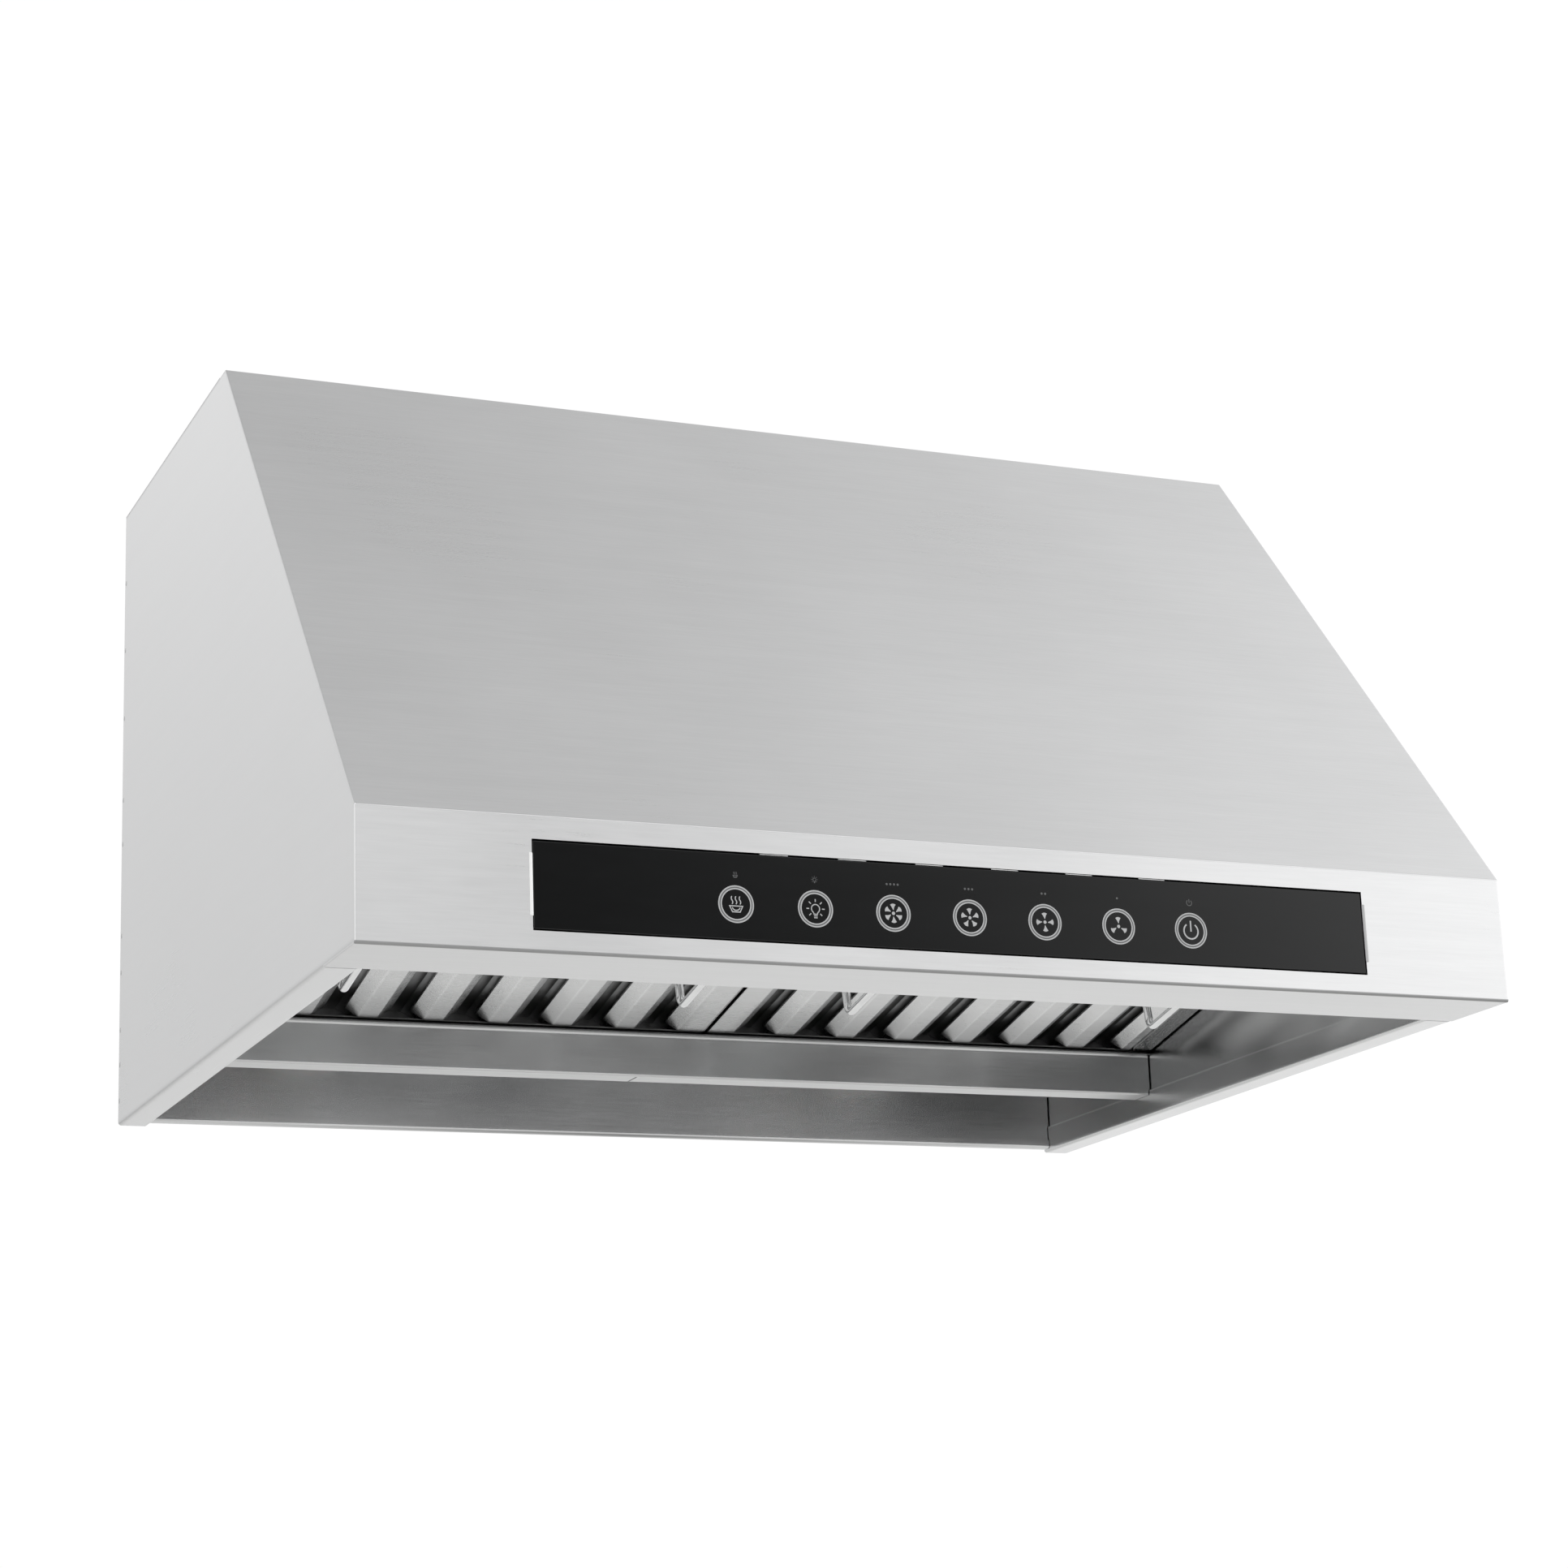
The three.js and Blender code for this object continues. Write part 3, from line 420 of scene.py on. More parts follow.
def grain_map(mesh, grain):
    """A UV map whose first direction runs across the brushing, for the stretched highlights."""
    layer = mesh.uv_layers.new(name="grain")
    along = Vector(grain).normalized()
    for polygon in mesh.polygons:
        across = polygon.normal.cross(along)
        if across.length < 0.05:
            across = along.orthogonal()
        across.normalize()
        for loop in polygon.loop_indices:
            place = mesh.vertices[mesh.loops[loop].vertex_index].co
            layer.data[loop].uv = (place.dot(across), place.dot(along))


def piece(name, bm, material, body, slot, stands_for=(), place=CABINET, bevel=0.2, grain=(1, 0, 0),
          inner=None, is_inner=None):
    """Turns a bmesh into a finished piece of the model. Faces that is_inner picks by their middle
    and normal take the inner material."""
    for face in bm.faces:
        face.smooth = True
        if inner and is_inner(face.calc_center_median(), face.normal):
            face.material_index = 1
    bm.transform(place)
    mesh = mesh_of(bm, name)
    grain_map(mesh, place.to_3x3() @ Vector(grain))
    mesh.materials.append(material)
    if inner:
        mesh.materials.append(inner)
    thing = in_scene(name, mesh)
    if bevel:
        edge = thing.modifiers.new("soft_edges", "BEVEL")
        edge.limit_method = "ANGLE"
        edge.angle_limit = math.radians(38)
        edge.width = bevel * MM
        edge.segments = 2
        edge.use_clamp_overlap = True
    weighted = thing.modifiers.new("flat_faces", "WEIGHTED_NORMAL")
    weighted.weight = 100
    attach(thing, body)
    if stands_for:
        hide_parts(*stands_for)
    return thing


# ---- materials

def set_range(node, start, stop, low, high):
    """Makes a Map Range node take start to stop into low to high."""
    for socket, value in (("From Min", start), ("From Max", stop), ("To Min", low), ("To Max", high)):
        node.inputs[socket].default_value = value


class Surface:
    """A Principled material under construction, with short names for the nodes it needs."""

    def __init__(self, name, colour, roughness, metallic=0.0, **sockets):
        self.material = bpy.data.materials.new(name)
        self.material.use_nodes = True
        self.tree = self.material.node_tree
        self.bsdf = self.tree.nodes["Principled BSDF"]
        sockets.update(Base_Color=(*colour, 1), Roughness=roughness, Metallic=metallic)
        for socket, value in sockets.items():
            self.bsdf.inputs[socket.replace("_", " ")].default_value = value
        self.place = self.node("ShaderNodeTexCoord").outputs["Object"]

    def node(self, kind, **values):
        made = self.tree.nodes.new(kind)
        for key, value in values.items():
            setattr(made, key, value)
        return made

    def link(self, source, target):
        self.tree.links.new(source, target)

    def noise(self, scale, detail=3.0, roughness=0.55):
        """A noise from 0 to 1. The scale is in waves per metre, one for all axes or three."""
        mapping = self.node("ShaderNodeMapping")
        mapping.inputs["Scale"].default_value = scale if isinstance(scale, tuple) else (scale,) * 3
        texture = self.node("ShaderNodeTexNoise")
        texture.inputs["Scale"].default_value = 1.0
        texture.inputs["Detail"].default_value = detail
        texture.inputs["Roughness"].default_value = roughness
        self.link(self.place, mapping.inputs["Vector"])
        self.link(mapping.outputs["Vector"], texture.inputs["Vector"])
        return texture.outputs["Fac"]

    def ranged(self, source, low, high, start=0.3, stop=0.7):
        """The source from start to stop, mapped to low to high."""
        made = self.node("ShaderNodeMapRange", clamp=True)
        set_range(made, start, stop, low, high)
        self.link(source, made.inputs["Value"])
        return made.outputs["Result"]

    def combined(self, operation, first, *others):
        for other in others:
            made = self.node("ShaderNodeMath", operation=operation)
            self.link(first, made.inputs[0])
            self.link(other, made.inputs[1])
            first = made.outputs[0]
        return first

    def shade(self, *factors):
        """Multiplies the base colour by factors that vary over the surface."""
        mix = self.node("ShaderNodeMix", data_type="RGBA", blend_type="MULTIPLY")
        mix.inputs["Factor"].default_value = 1.0
        mix.inputs["A"].default_value = self.bsdf.inputs["Base Color"].default_value
        self.link(self.combined("MULTIPLY", *factors), mix.inputs["B"])
        self.link(mix.outputs["Result"], self.bsdf.inputs["Base Color"])

    def rough(self, *terms):
        """Sets the roughness to the sum of the terms."""
        self.link(self.combined("ADD", *terms), self.bsdf.inputs["Roughness"])

    def bump(self, height, distance, strength):
        made = self.node("ShaderNodeBump")
        made.inputs["Distance"].default_value = distance
        made.inputs["Strength"].default_value = strength
        self.link(height, made.inputs["Height"])
        self.link(made.outputs["Normal"], self.bsdf.inputs["Normal"])


def along(axis, fine, coarse):
    """Noise scales for streaks: few waves along the axis and many across it."""
    return tuple(coarse if k == axis else fine for k in "xyz")


def brushed_steel(name, tint, roughness, axis, contrast=0.05, stretch=0.55, bend_tint=0.95, uneven=0.04,
                  cloudy=0.5):
    """Brushed stainless sheet: fine grain lines, longer streaks and faint clouds. Marked bends and
    sheet ends are tinted by bend_tint: painted shade below 1, a painted highlight above 1."""
    made = Surface(name, tint, roughness, 1.0, Anisotropic=stretch)
    hair = made.noise(along(axis, 650, 28), 4.0, 0.7)
    streak = made.noise(along(axis, 120, 4), 3.0, 0.6)
    cloud = made.noise(6, 2.0, 0.5)
    edge = made.node("ShaderNodeAttribute", attribute_name="edge").outputs["Fac"]
    lines = made.ranged(hair, 1 - contrast, 1 + contrast, 0.2, 0.8)
    bands = made.ranged(streak, 1 - contrast * 0.4, 1 + contrast * 0.4)
    clouds = made.ranged(cloud, 1 - contrast * cloudy, 1 + contrast * cloudy)
    # Marked bends and sheet ends tinted by bend_tint: painted shade below 1, painted highlight above 1.
    bends = made.ranged(edge, 1.0, bend_tint, 0.35, 0.95)
    # This attribute darkens the steel down to a tenth where a piece marks it: painted shade.
    stain_and_painted_shade = made.node("ShaderNodeAttribute", attribute_name="stain_and_painted_shade").outputs["Fac"]
    made.shade(lines, bands, clouds, bends, made.ranged(stain_and_painted_shade, 1.0, 0.1, 0.0, 1.0))
    made.rough(made.ranged(hair, roughness - uneven, roughness + uneven),
               made.ranged(cloud, -0.02, 0.02))
    made.bump(hair, 0.00001, 0.05)
    if stretch:
        tangent = made.node("ShaderNodeTangent", direction_type="UV_MAP", uv_map="grain")
        made.link(tangent.outputs["Tangent"], made.bsdf.inputs["Tangent"])
    return made.material


def plain_metal(name, tint, roughness, spangle=90.0, contrast=0.1, wear=0.12):
    """Coated or cast metal: a fine mottle, soft stains and edges rubbed brighter."""
    made = Surface(name, tint, roughness, 1.0)
    flakes = made.node("ShaderNodeTexVoronoi")
    flakes.inputs["Scale"].default_value = spangle
    made.link(made.place, flakes.inputs["Vector"])
    grey = made.node("ShaderNodeSeparateColor")
    made.link(flakes.outputs["Color"], grey.inputs["Color"])
    stain_and_painted_shade = made.noise(14, 4.0, 0.6)
    fine = made.noise(700, 2.0, 0.6)
    point = made.node("ShaderNodeNewGeometry").outputs["Pointiness"]
    mottle = made.ranged(grey.outputs["Red"], 1 - contrast, 1 + contrast, 0.0, 1.0)
    stains = made.ranged(stain_and_painted_shade, 0.93, 1.05)
    rubbed = made.ranged(point, 1.0, 1.0 + wear, 0.5, 0.62)
    made.shade(mottle, stains, rubbed)
    made.rough(made.ranged(grey.outputs["Green"], -0.06, 0.06, 0.0, 1.0),
               made.ranged(stain_and_painted_shade, roughness - 0.06, roughness + 0.08))
    made.bump(fine, 0.00003, 0.4)
    return made.material


def moulded(name, colour, roughness, grain=900.0, **sockets):
    """Moulded plastic, enamel or ceramic: a fine skin texture and a little dust."""
    made = Surface(name, colour, roughness, 0.0, **sockets)
    skin = made.noise(grain, 3.0, 0.6)
    dust = made.noise(22, 4.0, 0.6)
    made.shade(made.ranged(skin, 0.95, 1.05), made.ranged(dust, 0.9, 1.08))
    made.rough(made.ranged(skin, -0.03, 0.03), made.ranged(dust, roughness - 0.05, roughness + 0.08))
    made.bump(skin, 0.00005, 0.5)
    return made.material


def polished_wire():
    made = Surface("chrome_wire", (0.92, 0.925, 0.93), 0.1, 1.0)
    drawn = made.noise((420, 30, 420), 3.0, 0.6)
    haze = made.noise(60, 3.0, 0.5)
    made.shade(made.ranged(drawn, 0.95, 1.03))
    made.rough(made.ranged(drawn, -0.02, 0.02), made.ranged(haze, 0.06, 0.16))
    made.bump(drawn, 0.00001, 0.25)
    return made.material


def black_glass():
    """Printed black behind clear glass: a mirror skin with a trace of wiping haze."""
    made = Surface("black_glass", (0.0045, 0.0048, 0.005), 0.05, 0.0, IOR=1.5)
    haze = made.noise((8, 8, 40), 4.0, 0.6)
    speck = made.noise(600, 2.0, 0.5)
    made.shade(made.ranged(haze, 0.8, 1.25), made.ranged(speck, 0.95, 1.05))
    made.rough(made.ranged(haze, 0.035, 0.075))
    return made.material


def print_ink(name, colour):
    made = Surface(name, colour, 0.45)
    dots = made.noise(1500, 2.0, 0.6)
    wash = made.noise(90, 3.0, 0.5)
    made.shade(made.ranged(dots, 0.92, 1.06), made.ranged(wash, 0.94, 1.04))
    made.rough(made.ranged(dots, 0.38, 0.52))
    return made.material


def lens_glass(name, colour, roughness, grain):
    made = Surface(name, colour, roughness, Subsurface_Weight=0.25, Coat_Weight=0.4,
                   Coat_Roughness=0.12)
    frost = made.noise(grain, 2.0, 0.5)
    wash = made.noise(30, 3.0, 0.5)
    made.shade(made.ranged(frost, 0.95, 1.04), made.ranged(wash, 0.93, 1.04))
    made.rough(made.ranged(frost, -0.04, 0.04), made.ranged(wash, roughness, roughness + 0.05))
    made.bump(frost, 0.0001, 0.3)
    return made.material


def circuit_board():
    made = Surface("circuit_board", (0.012, 0.085, 0.035), 0.42)
    cells = made.node("ShaderNodeTexVoronoi", feature="DISTANCE_TO_EDGE")
    cells.inputs["Scale"].default_value = 220
    made.link(made.place, cells.inputs["Vector"])
    weave = made.noise(500, 2.0, 0.5)
    tracks = made.ranged(cells.outputs["Distance"], 1.7, 0.9, 0.02, 0.06)
    made.shade(tracks, made.ranged(weave, 0.92, 1.08))
    made.rough(made.ranged(weave, 0.35, 0.5))
    made.bump(cells.outputs["Distance"], 0.00006, 0.3)
    return made.material


OUTER_TINT = (0.78, 0.783, 0.786)
INNER_TINT = (0.69, 0.693, 0.696)
WALL_TINT = (0.55, 0.553, 0.556)
STEEL = {}


def steel(key, *look, **more):
    STEEL[key] = brushed_steel(f"steel_{key}", *look, **more)


# The front sheet's marked bends are drawn darker, down to 0.45: painted shade.
steel("front", OUTER_TINT, 0.3, "x", 0.03, bend_tint=0.45, uneven=0.014)
steel("side", OUTER_TINT, 0.3, "y", 0.012, 0.3, 0.93, uneven=0.014)
steel("across", INNER_TINT, 0.24, "x", 0.03, uneven=0.015, cloudy=5.0)
steel("strip", (0.7, 0.703, 0.706), 0.36, "x", 0.02, uneven=0.015)
steel("back", OUTER_TINT, 0.34, "x", 0.03)
# The wall steel's marked bends and sheet ends are drawn up to half again as bright: a painted
# highlight, seen as a light line along the side returns' top edge.
steel("wall", WALL_TINT, 0.22, "y", 0.03, bend_tint=1.5, uneven=0.015, cloudy=3.0)
# The lower slats' marked bend, between left flank and flat, is drawn a little brighter: a painted
# highlight along the crease.
steel("slat", (0.78, 0.783, 0.785), 0.3, "x", 0.03, 0.4, 1.08)
# Dark grey: painted shade on the upper slats, enclosed above the lower ones.
steel("upper_slat", (0.3, 0.301, 0.303), 0.34, "x", 0.04, 0.4, 0.96)
# Dark grey: painted shade on the filter frames.
steel("filter_frame", (0.26, 0.262, 0.264), 0.3, "x", 0.04)
# Dark grey: painted shade on the side ledges.
steel("ledge", (0.29, 0.292, 0.294), 0.28, "y", 0.03)
steel("top", (0.6, 0.603, 0.606), 0.34, "x", 0.03, 0)
steel("weld", (0.5, 0.503, 0.506), 0.3, "x", 0.04)
# Near black: painted reflection of the dark trough behind the filters.
steel("rear_rail", (0.2, 0.201, 0.202), 0.36, "x", 0.04)
# The left tab is near white, a painted highlight for the window's cut edge, and the right one dark
# grey, painted shade.
LIT_TAB = brushed_steel("steel_tab_painted_highlight", (0.93, 0.93, 0.925), 0.45, "z", 0.02, 0.2, 1.0)
SHADED_TAB = brushed_steel("steel_tab_painted_shade", (0.45, 0.452, 0.455), 0.45, "z", 0.02, 0.2, 1.0)
CHROME = polished_wire()
GLASS = black_glass()
INK = print_ink("panel_print", (0.46, 0.465, 0.47))
INK_MIDDLE = print_ink("panel_print_middle", (0.12, 0.122, 0.124))
INK_DIM = print_ink("panel_print_dim", (0.1, 0.102, 0.104))
ZINC = plain_metal("galvanised_steel", (0.5, 0.515, 0.53), 0.42, 110.0, 0.14)
CAST = plain_metal("cast_aluminium", (0.6, 0.61, 0.62), 0.45, 500.0, 0.08)
ENAMEL = moulded("motor_enamel", (0.03, 0.033, 0.038), 0.38, 500.0)
PLASTIC = moulded("black_plastic", (0.014, 0.014, 0.015), 0.5)
SHEATH = moulded("cable_sheath", (0.022, 0.022, 0.024), 0.55, 400.0)
CERAMIC = moulded("porcelain", (0.76, 0.74, 0.68), 0.22, 300.0, Coat_Weight=0.5)
LENS = lens_glass("frosted_lens", (0.86, 0.87, 0.84), 0.35, 900.0)
HEAT_GLASS = lens_glass("lamp_glass", (0.7, 0.7, 0.68), 0.14, 260.0)
BOARD = circuit_board()


# ---- outer shell

def shell(name, bm, finish, node, **more):
    piece(name, bm, STEEL[finish], "hood", "stainless_shell", [node], **more)


def canopy_front():
    path = [
        (LIP_DEPTH, RETURN_HEIGHT), (LIP_DEPTH, 0), (0, 0), (0, BAND_HEIGHT),
        (TOP_FRONT, HEIGHT), (TOP_FRONT + TOP_FLANGE, HEIGHT),
    ]
    # The marks set how much painted shade each bend carries, the most along the bottom front bend.
    sheet = folded(path, [2.2, 1.4, 1.6, 3], SHEET, -1, -HALF_WIDTH, HALF_WIDTH, end_round=0.7,
                   support=1.0, marks=[0.3, 1.0, 0.5, 0.0])
    window = block(
        (GLASS_LOW.x - WINDOW_END_GAP, -PAST, GLASS_LOW.z - WINDOW_GAP),
        (GLASS_HIGH.x + WINDOW_END_GAP, PAST, GLASS_HIGH.z + WINDOW_GAP),
    )
    trims = both_sides(RETURN_X, HALF_WIDTH + 1, (LIP_DEPTH - 4, SHEET),
                       (LIP_DEPTH + 1, RETURN_HEIGHT + 1))
    shell("canopy_sheet", cut(sheet, window, *trims), "front", "canopy_front", bevel=SHELL_BEVEL)


def side_panel(name, side):
    """The side sheet with its bottom flange, made on the right and mirrored for the left."""
    inset = SHEET + SEAM
    path = [(FLANGE_X, RETURN_HEIGHT), (FLANGE_X, 0), (HALF_WIDTH, 0),
            (HALF_WIDTH, HEIGHT - SHEET - SEAM)]
    sheet = folded(path, [2.0, 2.4], SHEET, 1, inset, DEPTH, axis="y")
    inside, outside, far = 300, 500, 900
    above = block((inside, -far, 0), (outside, far, far))
    lift = BAND_HEIGHT - inset / math.cos(SLOPE)
    above.transform(Matrix.Translation((0, 0, lift)) @ Matrix.Rotation(SLOPE, 4, "X"))
    lip = block((inside, -PAST, -PAST), (HALF_WIDTH - SHEET, LIP_DEPTH + SEAM, STRAIGHT_Z))
    foot = block((inside, -PAST, -PAST), (outside, LIP_DEPTH + SEAM, inset))
    shell(f"side_sheet_{name}", handed(cut(sheet, above, lip, foot), side), "side",
          f"side_panel_{name}", grain=(0, 1, 0), bevel=SHELL_BEVEL, inner=STEEL["wall"],
          is_inner=lambda middle, normal: abs(middle.x) < FLANGE_X + 1.5 and middle.z > SHEET)


def back_panel():
    half = HALF_WIDTH - SHEET - SEAM
    path = [(REAR_WALL_Y, BACK_HEM_TOP), (REAR_WALL_Y, BACK_FOOT), (DEPTH, BACK_FOOT),
            (DEPTH, HEIGHT - SHEET - SEAM)]
    sheet = folded(path, [2.2, 2.2], SHEET, 1, -half, half)
    # The back sheet's foot is drawn darker: painted shade.
    paint_shade(sheet, lambda place: HEM_PAINTED_SHADE if place.z < BACK_FOOT + 1 and place.y < DEPTH - 2.4 else 0)
    corners = both_sides(FLANGE_X - 0.3, HALF_WIDTH, (REAR_WALL_Y - 2, -2),
                         (DEPTH - SHEET - 0.3, STRAIGHT_Z))
    keyholes = []
    for x in (-KEYHOLE_X, KEYHOLE_X):
        keyholes.append(drill(KEYHOLE_RADIUS, DEPTH - PAST, DEPTH + PAST, (x, 0, KEYHOLE_Z), "y", 40))
        keyholes.append(block((x - KEYHOLE_SLOT_HALF, DEPTH - 6, KEYHOLE_Z),
                              (x + KEYHOLE_SLOT_HALF, DEPTH + 6, KEYHOLE_TOP)))
    shell("back_sheet", cut(sheet, *corners, *keyholes), "back", "back_panel", inner=STEEL["across"],
          is_inner=lambda middle, normal: middle.y < REAR_WALL_Y + 1.5 and middle.z > BACK_FOOT + 1)


def spot_welds():
    """Small round marks where the side sheets are welded to the back sheet's edges."""
    profile = [(0, -0.12), (1.5, -0.1), (1.9, 0.0), (1.5, 0.1), (0, 0.13)]
    spots = [turned(profile, (side * HALF_WIDTH, DEPTH - 3.2, z), "x", 24)
             for _, side in SIDES for z in WELD_HEIGHTS]
    piece("spot_welds", together(*spots), STEEL["weld"], "hood", "stainless_shell", bevel=0)


# ---- inner liner

def liner(name, bm, finish, node, **more):
    piece(name, bm, STEEL[finish], "hood", "stainless_liner", [node], **more)


def clear_returns(sheet):
    """Notches the lower corners of a sheet that runs from wall to wall, round the side returns."""
    return cut(sheet, *both_sides(RETURN_X, HALF_WIDTH, (0, -PAST), (DEPTH, RETURN_HEIGHT + 0.5)))


def inner_walls():
    for name, side in SIDES:
        low, high = span(f"inner_wall_{name}")
        path = [(LINER_X, low.z), (LINER_X, high.z), (HALF_WIDTH - SHEET - 1, high.z)]
        bm = folded(path, [2], THIN_SHEET, -1, low.y, high.y, axis="y")
        liner(f"liner_{name}", handed(bm, side), "wall", f"inner_wall_{name}", grain=(0, 1, 0))
    low, high = span("inner_wall_back")
    path = [(low.y, low.z), (low.y, high.z), (high.y, high.z)]
    end = LINER_X - CORNER_GAP
    sheet = clear_returns(folded(path, [2], THIN_SHEET, -1, -end, end))
    liner("liner_back", sheet, "across", "inner_wall_back")


def light_panel():
    low, high = span("light_panel")
    path = [(low.y, low.z), (low.y, high.z), (high.y, high.z), (high.y, high.z + 22)]
    sheet = folded(path, [2, 2], THIN_SHEET, 1, low.x, high.x)
    sheet = cut(sheet, *pair_of_holes(LIGHT_HOLE, high.z, LIGHT))
    liner("light_sheet", sheet, "across", "light_panel")


def pair_of_holes(radius, level, place):
    """What to cut out of a level sheet for the left and right lights or lamps."""
    return [drill(radius, level - 12, level + 12, (x, place.y, 0)) for x in (-place.x, place.x)]


def grease_trough():
    low, high = span("grease_trough")
    front = low.y + TROUGH_LIP
    path = [(low.y, TROUGH_LIP_Z), (front, TROUGH_LIP_Z), (front, low.z), (high.y, low.z),
            (high.y, high.z)]
    end = LINER_X - CORNER_GAP
    sheet = clear_returns(folded(path, [1.7, 1.5, 1.6], SHEET, 1, -end, end, support=1.2))
    # The trough's front lip is drawn darker: painted shade.
    paint_shade(sheet, lambda place: LIP_PAINTED_SHADE if place.y < front - 1.8 else 0)
    liner("trough_sheet", sheet, "across", "grease_trough", inner=STEEL["strip"],
          is_inner=lambda middle, normal: normal.z < -0.8 and middle.z < low.z + 0.5)
    seam_x = low.x + TROUGH_SEAM
    seam = block((seam_x - 0.5, low.y + 9, low.z - 0.06), (seam_x + 0.5, high.y - 2, low.z + 0.3))
    piece("trough_seam", seam, PLASTIC, "hood", "stainless_liner", bevel=0)


def lamp_shelf():
    low, high = span("lamp_shelf")
    front, rear, top = low.y + THIN_SHEET, high.y - THIN_SHEET, LAMP.z
    path = [(front, low.z), (front, top), (rear, top), (rear, top - 14)]
    sheet = folded(path, [2, 2], THIN_SHEET, 1, low.x, high.x)
    sheet = cut(sheet, *pair_of_holes(LAMP_HOLE, top, LAMP))
    liner("lamp_shelf_sheet", sheet, "across", "lamp_shelf")


def side_ledges():
    for name, side in SIDES:
        inner = FILTER_OUTER_X + 1
        path = [(inner, 14), (inner, 0), (LINER_X - LEDGE_GAP, 0)]
        bm = folded(path, [1.4], 1.0, 1, 3 - FILTER_LENGTH, -1.5, axis="y")
        liner(f"ledge_{name}", handed(bm, side), "ledge", f"side_ledge_{name}", place=SLOPING,
              grain=(0, 1, 0))


# ---- filters

def slat(centre, end, heights, side, marks=None):
    """A folded trapezoid channel. heights are those of its edge, of the bend below the edge and
    of its flat."""
    edge, shoulder, flat = heights
    half = [(SLAT_FLAT, flat), (SLAT_HALF, shoulder), (SLAT_HALF, edge)]
    path = [(centre - x, z) for x, z in half[::-1]] + [(centre + x, z) for x, z in half]
    return folded(path, SLAT_BENDS, SLAT_SHEET, side, SLAT_FRONT, end, axis="y", support=1.2,
                  marks=marks)


def lower_slat(centre):
    """A channel open upwards, with painted shade towards its rear end, most of all on its flanks."""
    bm = slat(centre, SLAT_END, (7.0, 5.7, 0), 1, [0, 1, 0, 0])
    for back in (SLAT_FADE, SLAT_FADE / 2, SLAT_REAR_SHADE, SLAT_REAR_SHADE / 2):
        bmesh.ops.bisect_plane(bm, geom=bm.verts[:] + bm.edges[:] + bm.faces[:],
                               plane_co=(0, SLAT_END - back, 0), plane_no=(0, 1, 0))

    def amount(place):
        back = SLAT_END - place.y
        faded = 0.3 * max(0, 1 - back / SLAT_FADE)
        rear = max(0, 1 - back / SLAT_REAR_SHADE)
        up_flank = min(max((abs(place.x - centre) - SLAT_FLAT) / SLAT_FLANK, 0), 1)
        return max(faded, rear * up_flank ** 0.5)
    return paint_shade(bm, amount)


def upper_slat(centre):
    """The same channel upside down, above the gap between two lower ones."""
    return slat(centre, FILTER_BEHIND - 1.4, (8.6, 9.5, FILTER_HEIGHT - 1.4), -1)


def filter_rail(x, inward):
    """A side channel with a short upper flange, shallower behind the pivot."""
    web = prism([(SLAT_END, 0), (SLAT_END, RAIL_STEP), (FILTER_BEHIND, RAIL_STEP),
                 (FILTER_BEHIND, FILTER_HEIGHT), (-FILTER_LENGTH, FILTER_HEIGHT), (-FILTER_LENGTH, 0)],
                *sorted((x, x + inward * RAIL_SHEET)), "x")
    flange = block((x, -FILTER_LENGTH, FILTER_HEIGHT - 1.0),
                   (x + inward * RAIL_FLANGE, FILTER_BEHIND, FILTER_HEIGHT))
    return [web, flange]


def filter_slats(name, side, low, high):
    """The lower slats, cut to fit inside the frame, and the upper ones. The lower slat beside the
    seam between the filters keeps one flank and runs flat to the inner rail."""
    front = -FILTER_LENGTH - PAST
    inside = block((low + 1.3, front, -2), (high - 1.3, FILTER_BEHIND + PAST, FILTER_HEIGHT - 1.2))
    lower = []
    upper = []
    at_seam = SLATS - 1 if side < 0 else 0
    for i in range(SLATS):
        centre = FIRST_SLAT[name] + i * SLAT_PITCH
        if i == at_seam:
            keep = block((centre, front, -2), (centre + side * 40, PAST, FILTER_HEIGHT))
            lower.append(block((centre, SLAT_FRONT, 0), (side * FILTER_INNER_X, SLAT_END, SLAT_SHEET)))
        else:
            keep = inside.copy()
        lower.append(cut(lower_slat(centre), keep, keep_inside=True))
        if i < SLATS - 1:
            upper.append(upper_slat(centre + SLAT_PITCH / 2))
    inside.free()
    return together(*lower), together(*upper)


def handle_lugs(name):
    """Half-round plates with a bore, two for each handle."""
    lugs = []
    for x in HANDLE_X[name]:
        for v in (HANDLE_REAR + LUG_INSET, HANDLE_REAR + HANDLE_SPAN - LUG_INSET):
            outline = [*arc((x, -HANDLE_AXIS), LUG_RADIUS, 180, 360, 14),
                       (x + LUG_RADIUS, 0.3), (x + LUG_STEP, 0.3), (x - LUG_RADIUS, LUG_TOP)]
            plate = prism(outline, -v - 0.7, -v + 0.7)
            bore = drill(HANDLE_WIRE + 0.4, -v - 3, -v + 3, (x, 0, -HANDLE_AXIS), "y", 32)
            lugs.append(cut(plate, bore))
    return together(*lugs)


